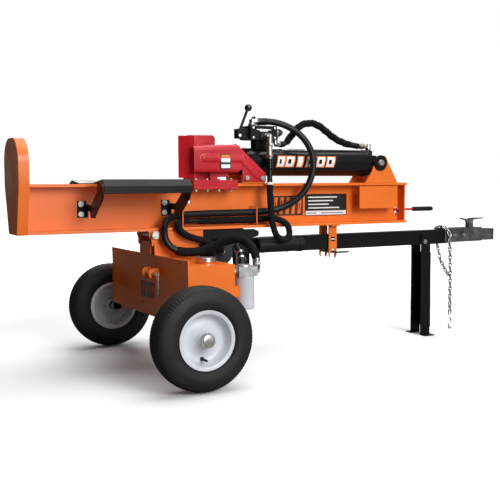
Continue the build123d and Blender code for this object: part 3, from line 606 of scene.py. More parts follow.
# %% Tyre surface
def tyre(name, side, body):
    """The tyre's section is a closed curve in (across, out). Tread height = groove wave across the crown
    x shoulder lug wave round the wheel, and fades to nothing on the sidewall."""
    centre = np.array((WHEEL_X, side * WHEEL_Y, float(WHEEL_Z)))
    s = np.linspace(0, 1, 73)
    across_keys = [-47, -47.6, -55, -60.2, -60, -54, -42, -22, 0, 22, 42, 54, 60, 60.2, 55, 47.6, 47]
    out_keys = [105, 117, 123, 140, 160, 183, 196.5, 201.5, 202.6, 201.5, 196.5, 183, 160, 140, 123, 117, 105]
    key = np.linspace(0, 1, len(across_keys))
    across = np.interp(s, key, across_keys)
    out = np.interp(s, key, out_keys)
    blur = np.array([1, 2, 3, 2, 1]) / 9
    across[2:-2] = np.convolve(across, blur, "valid")
    out[2:-2] = np.convolve(out, blur, "valid")
    turn = np.linspace(0, 2 * pi, 540, endpoint=False)
    crown = np.clip((out - 192) / 7, 0, 1)
    shoulder = np.clip((out - 176) / 8, 0, 1) * (np.abs(across) > 34)
    groove = -4.2 * (np.abs(((np.abs(across) + 8) % 16) - 8) < 2.2) * crown
    lug_wave = (np.sin(turn * 90) > -0.35) * 1.0
    height = groove[:, None] + 1.3 * shoulder[:, None] * lug_wave[None, :]
    ring = 0.8 * (np.abs(out - 150) < 2.5)[:, None] + 0.8 * (np.abs(out - 128) < 2)[:, None]
    r = out[:, None] + height
    w = across[:, None] * (1 + 0 * turn) + np.sign(across)[:, None] * ring
    x = centre[0] + r * np.cos(turn)
    z = centre[2] + r * np.sin(turn)
    y = centre[1] + w
    outer = np.stack([x, y, z], -1)
    inner_profile = [(41, 105), (44, 118), (50, 135), (49, 172), (30, 190), (-30, 190), (-49, 172),
                     (-50, 135), (-44, 118), (-41, 105)]
    a, b = np.array(inner_profile, float).T
    inner = np.stack([centre[0] + b[:, None] * np.cos(turn), centre[1] + a[:, None] + 0 * turn,
                      centre[2] + b[:, None] * np.sin(turn)], -1)
    mesh = grid_mesh(name, np.concatenate([outer, inner]) * MM, True, True)
    mesh.set_sharp_from_angle(angle=radians(50))
    made = shown(bpy.data.objects.new(name, mesh), "tyre_rubber", body)
    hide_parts("tyre_" + body.split("_")[1])


tyre("tyre_rubber_near", -1, "wheel_near")
tyre("tyre_rubber_far", 1, "wheel_far")
print("tyres:", len(SIDES))

# %% [markdown]
# ## Rims and hubs
# The rim is pressed from white-painted sheet: a rolled flange, a drop centre, then a deep dish that
# meets the hub tube. A lathe gives all of it in one section.

# %% Rims
RIM = [
    (51.4, 112), (51.6, 115), (49, 115.4), (47.5, 112), (47, 104.3), (40, 102.2), (36, 101.4), (20, 96.6),
    (-20, 96.6), (-36, 101.4), (-47, 104.3), (-48, 115.4), (-51, 115), (-51, 101), (-36, 97.4),
    (-16, 92.6), (2, 92.3), (5, 80), (4, 70), (8, 60), (16, 44), (18, 38), (18, 27.2), (-40, 27),
    (-40, 23), (40, 23), (40, 31), (37, 34), (26, 36), (21, 41), (14, 54), (10, 62), (7, 72),
    (9, 84), (14, 90), (22, 93.4), (36, 97.4), (48, 100.6), (50.5, 104),
]
GREASE_CAP = [(39, 22.8), (39, 29), (41, 30), (46, 29.4), (48.5, 28), (50, 26.6), (51, 27.4), (61, 26.4),
              (64.5, 24), (66, 19), (66.4, 0.5)]
BEARING = [(-40, 13), (-40, 22.5), (-39, 23.5), (-36, 23.5)]
TYRE_VALVE = [(6, 9), (9, 8.6), (12, 6.4), (26, 5), (38, 4.4), (38.2, 5), (48, 5), (50, 4), (50.2, 0.4)]
SPINDLE = [(0, 26), (10, 26), (12, 22), (20, 18), (34, 17), (40, 12.6), (118, 12.6), (119, 11), (119.2, 0.5)]
AXLE_PLATE_Y = 440


def outward(profile, side):
    """The same section for either wheel: along = side x along, so the outer face points away."""
    return [(side * along, radius) for along, radius in profile]


for side, where in SIDES:
    body, hub = f"wheel_{where}", f"hub_fittings_{where}"
    centre = (WHEEL_X, side * WHEEL_Y, WHEEL_Z)
    made = lathe(f"rim_{where}_sheet", outward(RIM, side), centre, (0, 1, 0), "white_paint", body,
                 96, None, True)
    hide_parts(f"rim_{where}")
    cap = lathe(f"grease_cap_{where}", outward(GREASE_CAP, side), centre, (0, 1, 0), "zinc", body)
    lathe(f"hub_bearing_{where}", outward(BEARING, side), centre, (0, 1, 0), "dull_zinc", body)
    lathe(f"tyre_valve_{where}", outward(TYRE_VALVE, side), (WHEEL_X - 4, side * WHEEL_Y, WHEEL_Z - 76),
          (0, 1, 0), "black_plastic", body, 24)
    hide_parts(hub)
for side, where in SIDES:
    spindle = lathe(f"axle_spindle_{where}", SPINDLE, (WHEEL_X, side * AXLE_PLATE_Y, WHEEL_Z), (0, side, 0),
                    "dull_zinc", "chassis", 40)
    y0, y1 = sorted((side * AXLE_PLATE_Y, side * (AXLE_PLATE_Y + 6)))
    block(f"axle_plate_{where}", (-731, -664, y0, y1, 190, 262), "orange_paint", "chassis")
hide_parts("axle_stubs")
print("wheels done")

# %% [markdown]
# ## Log strippers
# The guards beside the wedge are stamped from one sheet. The top and bottom edges roll inwards, and a
# raised bead runs along the panel and down the leg to stiffen it.

# %% Stamped guards
def bead_height(x, z):
    """Height of the bead in millimetres: a smooth bump across a line, for the straight run, then the
    diagonal down the leg. Distance to each segment is the usual clamped projection."""
    def near(ax, az, bx, bz):
        """Distance from (x, z) to the segment from a to b."""
        length = (bx - ax) ** 2 + (bz - az) ** 2
        along = np.clip(((x - ax) * (bx - ax) + (z - az) * (bz - az)) / length, 0, 1)
        return np.hypot(x - ax - along * (bx - ax), z - az - along * (bz - az))
    distance = np.minimum(near(-488, 902, -312, 902), near(-300, 898, -225, 826))
    return 5.5 * np.clip(1.5 - distance / 13, 0, 1) ** 2 * (3 - 2 * np.clip(1.5 - distance / 13, 0, 1))


def stripper(name, side):
    """The panel is a sheet over (x, share of height). Its top and bottom edges are straight runs between
    a few corners, and the sheet leans inwards near them by a quarter circle."""
    x = np.linspace(-538, -182, 120)
    top = np.interp(x, [-538, -405, -326, -306, -182], [955, 964, 966, 945, 838])
    bottom = np.interp(x, [-538, -322, -318, -300, -299, -182], [842, 842, 846, 858, 800, 800])
    v = np.linspace(0, 1, 40)
    z = bottom[:, None] + (top - bottom)[:, None] * v
    leg = np.clip((x + 330) / 30, 0, 1)[:, None]
    roll_top = np.clip((z - (top[:, None] - 20 * (1 - 0.6 * leg))) / 20, 0, 1)
    roll_bottom = np.clip((bottom[:, None] + 14 - z) / 14, 0, 1) * (1 - leg)
    depth = 81 - 22 * (1 - np.sqrt(1 - np.minimum(roll_top, 0.999) ** 2)) * (1 - leg)
    depth = depth - 12 * (1 - np.sqrt(1 - np.minimum(roll_bottom, 0.999) ** 2)) + bead_height(x[:, None], z)
    points = np.stack([x[:, None] + 0 * z, side * depth, z], -1) * MM
    mesh = grid_mesh(name, points)
    made = bpy.data.objects.new(name, mesh)
    bpy.context.scene.collection.objects.link(made)
    thick = made.modifiers.new("sheet", "SOLIDIFY")
    thick.thickness = 4 * MM
    thick.offset = 0
    return made


for side, where in SIDES:
    made = stripper(f"log_stripper_{where}_sheet", side)
    shown(made, "red_paint", "splitter_beam")
    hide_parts(f"log_stripper_{where}")
print("strippers:", len(SIDES))

# %% [markdown]
# ## Small fittings
# Crimped ferrules, worm-drive clamps, nuts and a filter are what makes plumbing look real. They are
# all lathes: a ferrule has rings pressed into it, and a filter can has a rolled seam.

# %% Ferrules, clamps and nuts
def ferrule(name, line, end, diameter, length, material, body):
    """A crimped sleeve over a hose end: radius = hose radius + 2.5, with shallow rings pressed in."""
    points = line if end == 0 else line[::-1]
    steps = np.concatenate([[0], np.cumsum(np.linalg.norm(np.diff(points, axis=0), axis=1))])
    at = np.linspace(0, length * MM, 25)
    path = np.stack([np.interp(at, steps, points[:, k]) for k in range(3)], 1)
    share = at / (length * MM)
    radius = diameter / 2 + 2.5 - 0.9 * (np.sin(share * pi * 9) > 0.2) * (share > 0.1)
    radius[-1] = diameter / 2 + 0.4
    radius[0] = diameter / 2 - 1
    tube(name, path, radius * MM, material, body, 24)


ferrule("return_ferrule", return_line, 0, 30, 46, "gloss_black", "splitter_beam")
ferrule("return_ferrule_low", return_line, -1, 30, 30, "zinc", "chassis")
ferrule("pressure_ferrule", upper_line, 0, 24, 52, "gloss_black", "splitter_beam")
ferrule("pressure_ferrule_low", lower_line, -1, 24, 24, "zinc", "chassis")
ferrule("base_ferrule", base_line, 0, 24, 24, "gloss_black", "splitter_beam")
ferrule("base_ferrule_end", base_line, -1, 24, 46, "gloss_black", "splitter_beam")
ferrule("suction_clamp_a", suction_line, 0, 32, 16, "zinc", "chassis")
ferrule("suction_clamp_b", suction_line, -1, 32, 16, "zinc", "chassis")

NUTS = [
    ("return_nut", (-196, 0, 1075), (1, 0, 0), 30, 16, "zinc", "splitter_beam", "hose_fittings"),
    ("return_port", (-208, 0, 1052), (0, 0, 1), 32, 14, "zinc", "splitter_beam", "hose_fittings"),
    ("pressure_nut_a", (-167, -92, 958), (0, 0, 1), 30, 16, "zinc", "splitter_beam", "hose_fittings"),
    ("pressure_nut_b", (-167, -92, 922), (0, 0, -1), 28, 14, "zinc", "splitter_beam", "hose_fittings"),
    ("base_nut_a", (-98, 0, 1012), (1, 0, 0), 30, 15, "zinc", "splitter_beam", "hose_fittings"),
    ("base_nut_b", (406, 0, 973), (1, 0, 0), 28, 14, "yellow_zinc", "splitter_beam", "hose_fittings"),
    ("hub_nut_near", (WHEEL_X, -575, WHEEL_Z), (0, -1, 0), 30, 8, "zinc", "chassis", "axle_stubs"),
]
for name, centre, axis, across, height, material, body, slot in NUTS:
    hexagon(name, centre, axis, across, height, material, body, washer=False)
print("nuts:", len(NUTS))

# %% [markdown]
# ### Filter can
# A spin-on filter is a drawn steel cup, painted white, with its open end rolled into a seam against the
# gasket plate. Its section is a straight wall with a soft bottom corner and the seam's small bulge.

# %% Filter can
can = [(0, 30), (1, 38), (6, 41.4), (10, 42), (128, 42), (131, 43.4), (134, 43.2), (135.5, 40), (135.5, 30)]
made = lathe("filter_can", can, (FILTER_X, FILTER_Y, 280), (0, 0, 1), "white_paint", "chassis",
             64)
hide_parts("filter_canister")
print("fittings done")

# %% [markdown]
# ## Labels
# The labels are thin vinyl stickers. Each is a small raised panel with plain bars where the printing
# goes, so nothing on them can be read. They stand 0.3 mm off the paint, and their bars 0.2 mm more.

# %% Flat and wrapped stickers
def sticker(name, corners, material, body, lift):
    """A flat patch through four corners in millimetres, moved along its own normal by the lift, with
    4 x 4 cells."""
    a, b, c, d = (np.array(p, float) for p in corners)
    normal = np.cross(b - a, d - a)
    normal = normal / np.linalg.norm(normal) * lift
    u, v = np.meshgrid(np.linspace(0, 1, 5), np.linspace(0, 1, 5), indexing="ij")
    u, v = u[..., None], v[..., None]
    top = (a * (1 - u) + b * u) * (1 - v) + (d * (1 - u) + c * u) * v + normal
    mesh = grid_mesh(name, top * MM)
    made = bpy.data.objects.new(name, mesh)
    return shown(made, material, body)


def near_side(name, x0, x1, z0, z1, y, material, body, lift=0.4, slant=0.0):
    """A sticker on a face that looks towards -Y, its sides leaning by the slant in millimetres."""
    corners = [(x0, y, z0), (x1, y, z0), (x1 + slant, y, z1), (x0 + slant, y, z1)]
    return sticker(name, corners, material, body, lift)


def web_label(name, x0, x1, z0, z1, material, lift, slant=0.0):
    """A sticker on the near face of the beam's web."""
    return near_side(name, x0, x1, z0, z1, WEB_Y, material, "splitter_beam", lift, slant)


web_label("beam_badge", -106, 66, 640, 734, "label_brown", 0.3)
for k in range(5):
    x = -98 + 33 * k
    low = 668 + 14 * (k % 2)
    web_label(f"beam_badge_bar_{k}", x, x + 17, 648, 726, "orange_paint", 0.7, 8)
    web_label(f"beam_badge_cut_{k}", x + 7, x + 12, low, low + 32, "label_brown", 1.0, 3)
web_label("beam_panel", 77, 320, 636, 741, "label_black", 0.3)
web_label("beam_panel_strip", 82, 315, 640, 660, "label_white", 0.7)
for k, x1 in enumerate((262, 240, 214, 276)):
    z1 = 728 - 17 * k
    web_label(f"beam_panel_line_{k}", 96, x1, z1 - 6, z1, "label_white", 0.7)
web_label("beam_panel_mark_a", 88, 142, 646, 652, "label_grey", 1.0)
web_label("beam_panel_mark_b", 170, 300, 646, 652, "label_grey", 1.0)
BRACKET_Y, VALVE_Y = -43, -42
for name, x0, x1, z0, z1, y, material, slot, lift in (
    ("bracket_label", 201, 225, 512, 534, BRACKET_Y, "label_black", "beam_lock_bracket", 0.3),
    ("bracket_label_line", 203, 223, 520, 526, BRACKET_Y, "label_white", "beam_lock_bracket", 0.6),
    ("valve_label", -205, -130, 1034, 1039, VALVE_Y, "label_white", "control_valve", 0.5),
    ("valve_label_low", -188, -147, 1028, 1034, VALVE_Y, "label_white", "control_valve", 0.5),
):
    near_side(name, x0, x1, z0, z1, y, material, "splitter_beam", lift)


def front_side(name, y0, y1, z0, z1, x, material, body, lift=0.4):
    """A sticker on a face that looks towards -X."""
    return sticker(name, [(x, y1, z0), (x, y0, z0), (x, y0, z1), (x, y1, z1)], material, body, lift)


TANK_FRONT_X = -734
for k in range(6):
    y = 60 - 27 * k
    low = 322 + 9 * (k % 2)
    front_side(f"tank_badge_{k}", y - 17, y, 305, 373, TANK_FRONT_X, "label_black", "chassis",
               0.4)
    front_side(f"tank_badge_cut_{k}", y - 12, y - 6, low, low + 30, TANK_FRONT_X, "orange_paint", "chassis",
               0.8)


def barrel_patch(name, x0, x1, low, high, material, lift, slant=0.0):
    """A sticker wrapped on the cylinder: x runs along it, and the angle below and above the near side's
    level line, in degrees, runs round it. Point = axis + radius x (direction at that angle)."""
    x, turn = np.meshgrid(np.linspace(x0, x1, 7), np.radians(np.linspace(low, high, 9)), indexing="ij")
    share = (turn - turn[:, :1]) / (turn[:, -1:] - turn[:, :1])
    r = CYLINDER_RADIUS + lift
    points = np.stack([x + slant * share, -r * np.cos(turn), CYLINDER_Z + r * np.sin(turn)], -1) * MM
    mesh = grid_mesh(name, points[:, ::-1])
    return shown(bpy.data.objects.new(name, mesh), material, "splitter_beam")


for k, (start, width) in enumerate(((-112, 34), (-66, 40), (-4, 26), (46, 42), (104, 40), (160, 40))):
    barrel_patch(f"barrel_glow_{k}", start - 5, start + width + 5, -22, 27, "label_orange", 0.3, 14)
    barrel_patch(f"barrel_bar_{k}", start, start + width, -18, 23, "label_white", 0.6, 12)
    if k != 2:
        barrel_patch(f"barrel_cut_{k}", start + 12, start + width - 11, -7, 12, "gloss_black", 0.9, 5)
barrel_patch("barrel_top_strip", -60, 100, 62, 72, "label_white", 0.4, 0)
barrel_patch("barrel_top_strip_cut", -24, 60, 64, 70, "gloss_black", 0.7, 0)
for name, x0, x1, z0, z1, material, lift in (
    ("stripper_label", -414, -362, 856, 922, "label_black", 7.4),
    ("stripper_label_head", -410, -366, 908, 918, "label_orange", 7.8),
    ("stripper_label_top", -410, -366, 886, 904, "label_white", 7.8),
    ("stripper_label_low", -410, -366, 860, 876, "label_white", 7.8),
):
    near_side(name, x0, x1, z0, z1, -81, material, "splitter_beam", lift)
print("labels done")

# %% [markdown]
# ## The cylinder's end and the valve
# The cylinder ends in a forged eye, held between the anchor plates by a pin. The valve is an iron
# casting with four long bolts, port bosses, and a spool cap at each end.

# %% Cylinder end
lathe("cylinder_base_cap", [(-30, 63.6), (-28, 65.2), (-6, 65.2), (-2, 62), (0.3, 55), (0.4, 20)],
      (440, 0, CYLINDER_Z), (1, 0, 0), "gloss_black", "splitter_beam", 72)
lathe("cylinder_gland_ring", [(0, 63.6), (1, 66), (22, 66), (24, 63.6)], (-250, 0, CYLINDER_Z), (1, 0, 0),
      "gloss_black", "splitter_beam", 72)
BASE_PIN = (BASE_PIN_X, 0, CYLINDER_Z)
for side, where in SIDES:
    lathe(f"clevis_boss_{where}", [(72, 36), (73, 38), (80, 38), (82, 36), (82.2, 15)], BASE_PIN,
          (0, side, 0), "black_paint", "splitter_beam", 48)
    lathe(f"base_pin_head_{where}", [(80, 15), (88, 15), (90, 13.5), (90.4, 5), (89, 4.4), (88.8, 0.3)],
          BASE_PIN, (0, side, 0), "zinc", "splitter_beam", 32)
print("cylinder end done")

# %% [markdown]
# ### Valve body parts
# The relief valve's cap sticks out of the valve's end and can be turned with a spanner. The spool slides
# through a machined ring, and a round boss stands round the pressure port. All are turned parts.

# %% Valve body parts
for k, (x, z) in enumerate(((-224, 1044), (-112, 1044), (-224, 1000), (-112, 1000))):
    hexagon(f"valve_bolt_{k}", (x, VALVE_Y, z), (0, -1, 0), 13, 6, "zinc", "splitter_beam",
            False)
lathe("valve_relief_cap", [(0, 17), (4, 18), (16, 18), (18, 14), (34, 14), (36, 12), (40, 12), (41, 0.5)],
      (-98, -16, 1026), (1, 0, 0), "zinc", "splitter_beam", 6)
lathe("valve_relief_collar", [(0, 16), (1, 17.4), (9, 17.4), (10, 15)], (-78, -16, 1026), (1, 0, 0),
      "dull_zinc", "splitter_beam", 32)
lathe("valve_spool_boss", [(0, 13), (0, 22), (3, 23), (8, 23), (10, 20), (11, 13)], (-236, 0, 1022),
      (-1, 0, 0), "black_paint", "splitter_beam", 32, None, True)
lathe("valve_port_boss", [(0, 22), (7, 22), (9, 20), (9.2, 10)], (-167, -42, 1004), (0, -1, 0),
      "cast_iron", "splitter_beam", 32)
lathe("return_plug", [(0, 9), (5, 9), (6, 10), (12, 10), (13, 8.6), (13.2, 0.5)], (-198, -2, 1084),
      (0, 0, 1), "black_paint", "splitter_beam", 6)

print("valve parts done")

# %% [markdown]
# ### Lever and wedge slide
# The lever's ball screws on over a short collar, and a nut on each side holds its pivot. The wedge's
# slide plates carry three raised ledges, which are thin strips along their outer faces.

# %% Lever collar, pivot nuts and slide ledges
lathe("lever_knob_collar", [(0, 6.4), (1, 8), (9, 8), (11, 6.3)], (-232.6, 0, 1121.6), (0.395, 0, 0.919),
      "phenolic", "lever", 24)
for side, where in SIDES:
    lathe(f"lever_pivot_nut_{where}", [(0, 8), (1, 9), (6, 9), (7, 7), (7.2, 0.5)], (-278, side * 16, 1008),
          (0, side, 0), "zinc", "splitter_beam", 6)
for side, where in SIDES:
    y0, y1 = sorted((side * 86, side * 88.6))
    for level, z0, z1 in (("top", 800, 808), ("mid", 786, 791), ("low", 767, 777)):
        block(f"slide_ledge_{level}_{where}", (-541, -327, y0, y1, z0, z1), "red_paint", "ram")
print("lever and slide done")

# %% [markdown]
# ### Filter head
# The head is an aluminium casting with a ribbed collar for grip and a shallow dome. A rubber elbow,
# held by two worm-drive clamps, turns the return flow down into it.

# %% Filter head
lathe("filter_collar", [(0, 38), (2, 41), (12, 41), (16, 36), (24, 33)], (FILTER_X, FILTER_Y, 414), (0, 0, 1),
      "cast_aluminium", "chassis", 48, lambda along, turn: 1.1 * np.sign(np.sin(turn * 9)))
lathe("filter_dome", [(0, 30), (6, 28), (9, 22), (10, 0.5)], (FILTER_X, FILTER_Y, 455), (0, 0, 1),
      "cast_aluminium", "chassis", 48)
ELBOW = np.array([(-412, -356, 434), (-398, -356, 434), (-389, -356, 437), (-385.4, -356, 444),
                  (-385, -356, 452), (-385, -356, 470)])
tube("filter_elbow", ELBOW * MM, 15.6 * MM, "hose_rubber", "chassis", 24)
for k, (centre, axis) in enumerate((((-385, -356, 462), (0, 0, 1)), ((-408, -356, 434), (1, 0, 0)))):
    lathe(f"filter_clamp_{k}", [(-5, 16), (-4.6, 17.4), (4.6, 17.4), (5, 16)], centre, axis, "zinc",
          "chassis", 40)
    lathe(f"filter_clamp_screw_{k}", [(-8, 0.5), (-7.8, 4.4), (7.8, 4.4), (8, 0.5)],
          (centre[0] + 4, centre[1] - 19, centre[2]), (0.8, 0.2, 0.5), "zinc", "chassis", 8)
print("filter head done")

# %% [markdown]
# ## The engine
# A small single-cylinder engine hangs on the far side. Its recoil starter is a ribbed steel cup with
# slots for the cooling air, the fuel tank sits on top, and the exhaust has a pressed heat guard.

# %% Engine details
FAR = (0, 1, 0)


def starter_ribs(along, turn):
    """Air slots pressed 2 mm into the starter cup's wall: 24 round it, between 8 and 52 mm along."""
    return -2.0 * (np.sin(turn * 24) > 0.55) * (along < 52) * (along > 8)


def cap_ribs(along, turn):
    """Sixteen square finger ribs of 1 mm round the fuel cap."""
    return 1.0 * np.sign(np.sin(turn * 16))


def engine_lathe(name, profile, centre, axis, material, steps, ribs=None):
    """A turned piece that rides on the chassis, as everything on the engine does."""
    return lathe(name, profile, centre, axis, material, "chassis", steps, ribs)


engine_lathe("starter_cup", [(0, 109), (30, 109), (50, 104), (60, 92), (66, 70), (68, 40), (68.5, 0.5)],
             (STARTER_X, 336, STARTER_Z), FAR, "gloss_black", 96, starter_ribs)
for k in range(12):
    turn = 2 * pi * k / 12
    engine_lathe(f"starter_slot_{k}", [(-1, 9), (1.2, 9), (1.6, 7), (1.7, 0.5)],
                 (STARTER_X + 54 * np.cos(turn), 401.3, STARTER_Z + 54 * np.sin(turn)), FAR, "label_grey",
                 16)
engine_lathe("starter_hub", [(0, 26), (4, 26), (6, 22), (6.4, 0.5)], (STARTER_X, 404, STARTER_Z), FAR,
             "cast_aluminium", 40)
engine_lathe("starter_handle", [(-22, 0.5), (-21, 7), (-14, 8.5), (14, 8.5), (21, 7), (22, 0.5)],
             (STARTER_X, 411, 602), (1, 0, 0), "black_plastic", 24)
for k in range(6):
    z0 = 600.5 + 15 * k
    block(f"cooling_fin_{k}", (-491, -299, 191, 319, z0, z0 + 4), "cast_aluminium", "chassis",
          0.6)
block("head_cover", (-470, -320, 318, 329, 612, 684), "black_paint", "chassis", 5)
engine_lathe("spark_lead_boot", [(0, 9), (16, 9), (20, 7), (30, 5), (30.4, 0.5)], (-455, 320, 646),
             (-0.3, 0.9, 0.3), "black_plastic", 20)
SPARK_LEAD = [(-462, 346, 655), (-474, 362, 662), (-492, 366, 640), (-500, 352, 600), (-494, 338, 560)]
tube("spark_lead", smooth_line("spark_lead_line", SPARK_LEAD), 3.4 * MM, "black_plastic", "chassis",
     12)
engine_lathe("oil_filler", [(0, 14), (3, 17), (12, 17), (14, 14), (14.4, 0.5)], (-478, 331, 420), FAR,
             "label_yellow", 8)
engine_lathe("oil_drain", [(0, 9), (6, 9), (7, 7), (7.2, 0.5)], (-330, 331, 408), FAR, "zinc",
             6)
engine_lathe("fuel_cap", [(0, 24), (2, 27), (14, 27), (17, 24), (17.4, 0.5)], (-330, 250, 745), (0, 0, 1),
             "black_plastic", 48, cap_ribs)
for k in range(5):
    x0 = -276 + 12 * k
    block(f"exhaust_slot_{k}", (x0, x0 + 6, 319.6, 321.2, 585, 655), "dull_zinc", "chassis", 0.4)
engine_lathe("exhaust_outlet", [(0, 13), (18, 13), (19, 12), (18, 10.5), (4, 10.5), (3, 0.5)],
             (-216, 255, 620), (1, 0, 0), "cast_iron", 32)
for k in range(4):
    z0 = 578 + 24 * k
    block(f"air_cleaner_rib_{k}", (-561.2, -559.6, 214, 306, z0, z0 + 10), "black_plastic", "chassis",
          0.5)
print("engine done")

# %% [markdown]
# ### Feed beside the filter
# A short hose drops from above the tank's edge to the filter head, with two clamps on it. It is held at
# both ends, so it follows its own few points and needs no slack.

# %% Pump feed beside the filter
FEED = [(-452, -300, 540), (-440, -302, 520), (-434, -312, 500), (-440, -332, 480), (-448, -350, 466),
        (-452, -362, 452)]
feed_line = smooth_line("feed_line", FEED)
tube("filter_feed", feed_line, 15 * MM, "hose_rubber", "chassis", 24)
for k, at in enumerate((0.3, 0.62)):
    n = int(at * (len(feed_line) - 1))
    direction = feed_line[n + 1] - feed_line[n - 1]
    lathe(f"feed_clamp_{k}", [(-5, 15.4), (-4.6, 16.8), (4.6, 16.8), (5, 15.4)], feed_line[n] / MM,
          direction / np.linalg.norm(direction), "zinc", "chassis", 40)
print("feed length", round(line_length(feed_line), 3))

# %% [markdown]
# ## Cloth sleeves
# A woven sleeve is slipped over the hoses where they could rub or burst near the operator. It is a
# little larger than the hose and gathers in soft rings.

# %% Sleeves
def sleeve(name, line, start, end, radius, body, blend=None, wrinkle=0.9, turns=60):
    """A tube along part of a hose, in metres from its start: radius + wrinkle x two waves whose phase
    moves round the hose, and both ends drawn in."""
    steps = np.concatenate([[0], np.cumsum(np.linalg.norm(np.diff(line, axis=0), axis=1))])
    at = np.linspace(start, end, max(40, int((end - start) / 0.0035)))
    path = np.stack([np.interp(at, steps, line[:, k]) for k in range(3)], 1)
    turn = np.linspace(0, 2 * pi, 28, endpoint=False)
    share = (at - start) / (end - start)
    wave = np.sin(share[:, None] * turns * 0.9 + 2 * np.sin(turn)[None, :])
    wave = wave + 0.7 * np.sin(share[:, None] * turns * 2.3 + 3 * turn[None, :])
    ends = np.clip(np.minimum(share, 1 - share) * 30, 0, 1)[:, None]
    base = carried(path, 1.0, 28)
    out = base - path[:, None]
    r = (radius - 1.4 * (1 - ends) + wrinkle * ends * wave) * MM
    mesh = grid_mesh(name, path[:, None] + out * r[..., None], False, True, True)
    made = shown(bpy.data.objects.new(name, mesh), "sleeve_cloth", None if blend else body)
    if blend:
        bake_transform(made)
    return made


base_long = line_length(base_line)
return_long = line_length(return_line)
sleeve("base_sleeve", base_line, 0.035, base_long - 0.05, 16.5, "splitter_beam", wrinkle=1.1)
sleeve("return_sleeve", return_line, return_long - 0.44, return_long - 0.03, 18.6, "splitter_beam",
       RETURN_BLEND, 0.35, 70)
sleeve("pressure_sleeve", upper_line, 0.1, line_length(upper_line) - 0.05, 14.4, "splitter_beam",
       None, 0.5, 120)
sleeve("pressure_sleeve_low", lower_line, 0.02, line_length(lower_line) - 0.03, 15, "splitter_beam",
       PRESSURE_BLEND, 0.5, 60)
lathe("pressure_band", [(-6, 15.2), (-5, 16), (5, 16), (6, 15.2)], (-170, -95.5, 792), (0, 0, 1),
      "label_white", "splitter_beam", 32)
print("sleeves done")

# %% [markdown]
# ## Safety chain
# Each link is a bar bent into an oblong, and each hangs in the one above, turned a quarter. A link's
# centre line is two half circles joined by straights, and the round bar is carried along it.

# %% Chain links
def oblong(centre, along, across, half_straight, bend, count=28):
    """Points of an oblong ring: two half circles of the given bend radius, moved apart."""
    t = np.linspace(0, 2 * pi, count, endpoint=False)
    a = bend * np.sin(t) + half_straight * np.sign(np.sin(t))
    b = bend * np.cos(t)
    return np.array(centre) + a[:, None] * np.array(along) + b[:, None] * np.array(across)


def chain(name, route, body, bar=3.4):
    """Links spaced along a route, alternately turned by a right angle about the route's direction."""
    route = np.array(route, float)
    steps = np.concatenate([[0], np.cumsum(np.linalg.norm(np.diff(route, axis=0), axis=1))])
    pitch = 20.7
    count = int(steps[-1] // pitch)
    vertices, faces = [], []
    for i in range(count):
        at = (i + 0.5) * pitch
        here = np.array([np.interp(at, steps, route[:, k]) for k in range(3)])
        ahead = np.array([np.interp(at + 4, steps, route[:, k]) for k in range(3)])
        back = np.array([np.interp(at - 4, steps, route[:, k]) for k in range(3)])
        along = (ahead - back) / np.linalg.norm(ahead - back)
        lean = np.cross(along, (0.2, 1, 0.1) if i % 2 else (1, -0.2, 0.15))
        lean = lean / np.linalg.norm(lean)
        ring = oblong(here, along, lean, 7.6, 7.2)
        points = carried(ring, bar, 8, True)
        rows, columns = points.shape[:2]
        base = len(vertices)
        index = np.arange(rows * columns).reshape(rows, columns) + base
        index = np.vstack([index, index[:1]])
        index = np.hstack([index, index[:, :1]])
        quads = np.stack([index[:-1, :-1], index[:-1, 1:], index[1:, 1:], index[1:, :-1]], -1)
        faces += quads.reshape(-1, 4).tolist()
        vertices += (points.reshape(-1, 3) * MM).tolist()
    mesh = bpy.data.meshes.new(name)
    mesh.from_pydata(vertices, [], faces)
    work = bmesh.new()
    work.from_mesh(mesh)
    bmesh.ops.recalc_face_normals(work, faces=work.faces)
    work.to_mesh(mesh)
    work.free()
    mesh.shade_smooth()
    print(name, "links", count)
    return shown(bpy.data.objects.new(name, mesh), "zinc", body)


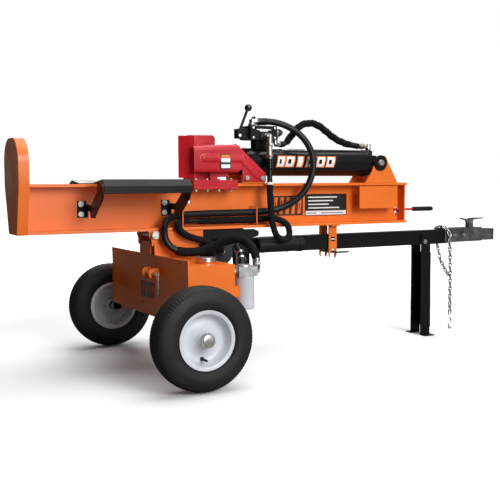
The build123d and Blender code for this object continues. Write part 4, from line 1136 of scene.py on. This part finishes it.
near_chain = chain("safety_chain_near", [(934, 0, 558), (936, -30, 556), (940, -45, 542), (950, -50, 520),
                   (956, -50, 400), (958, -50, 290), (959, -50, 80)], "chassis")
far_chain = chain("safety_chain_far", [(934, 0, 558), (932, 30, 556), (936, 45, 542), (944, 50, 500),
                  (952, 20, 380), (957, -40, 296)], "chassis")
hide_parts("safety_chains")
HOOK = [(959, -50, 80), (966, -50, 72), (966, -50, 58), (958, -50, 50), (951, -50, 42), (952, -50, 28),
        (961, -50, 20), (969, -50, 28)]
tube("chain_hook", smooth_line("chain_hook_line", HOOK), 4 * MM, "zinc", "chassis", 12)

# %% [markdown]
# ## The beam's free end
# A red rod with a moulded grip tilts the beam up by hand. It is bolted to the web, and a plate is welded
# across the end of the I-beam to close it. The grip is a lathe with fine rings pressed into it.

# %% Beam handle and end plate
HANDLE_Y, HANDLE_Z = -12.6, 658
HANDLE_ROD = np.array([(612, HANDLE_Y, HANDLE_Z), (660, HANDLE_Y, HANDLE_Z), (720, HANDLE_Y, 657.6),
                       (745, HANDLE_Y, 657.5)])
GRIP = [(730, 9), (732, 11.4), (740, 11.6), (852, 11.6), (858, 10), (860, 6), (860.4, 0.4)]


def grip_rings(along, turn):
    """Rings 0.7 mm deep and 7 mm apart, over the middle 100 mm of the grip."""
    return -0.7 * (np.sin(along * 0.9) > 0.3) * (np.abs(along - 795) < 50)


tube("beam_handle_rod", HANDLE_ROD * MM, 5.6 * MM, "red_paint", "splitter_beam")
handle_grip = lathe("beam_handle_grip", GRIP, (0, HANDLE_Y, HANDLE_Z), (1, 0, 0), "black_plastic",
                    "splitter_beam", 32, grip_rings)
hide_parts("beam_handle")
block("beam_end_plate", (637, 643.5, -58, 58, 603, 782), "orange_paint", "splitter_beam", 2)
for k, z in enumerate((640, 662)):
    hexagon(f"beam_end_bolt_{k}", (632, -5, z), (0, -1, 0), 17, 7, "zinc", "splitter_beam")
print("beam end done")

# %% [markdown]
# ## Finish any plain CAD node
# Every node is replaced by now. Any that wasn't would keep its CAD mesh, and would get black paint here
# so that nothing is left without a finish.

# %% Remaining finishes
for node, obj in frame["nodes"].items():
    if not obj.data.materials or obj.data.materials[0] not in FINISHES.values():
        obj.data.materials.clear()
        obj.data.materials.append(FINISHES["black_paint"])
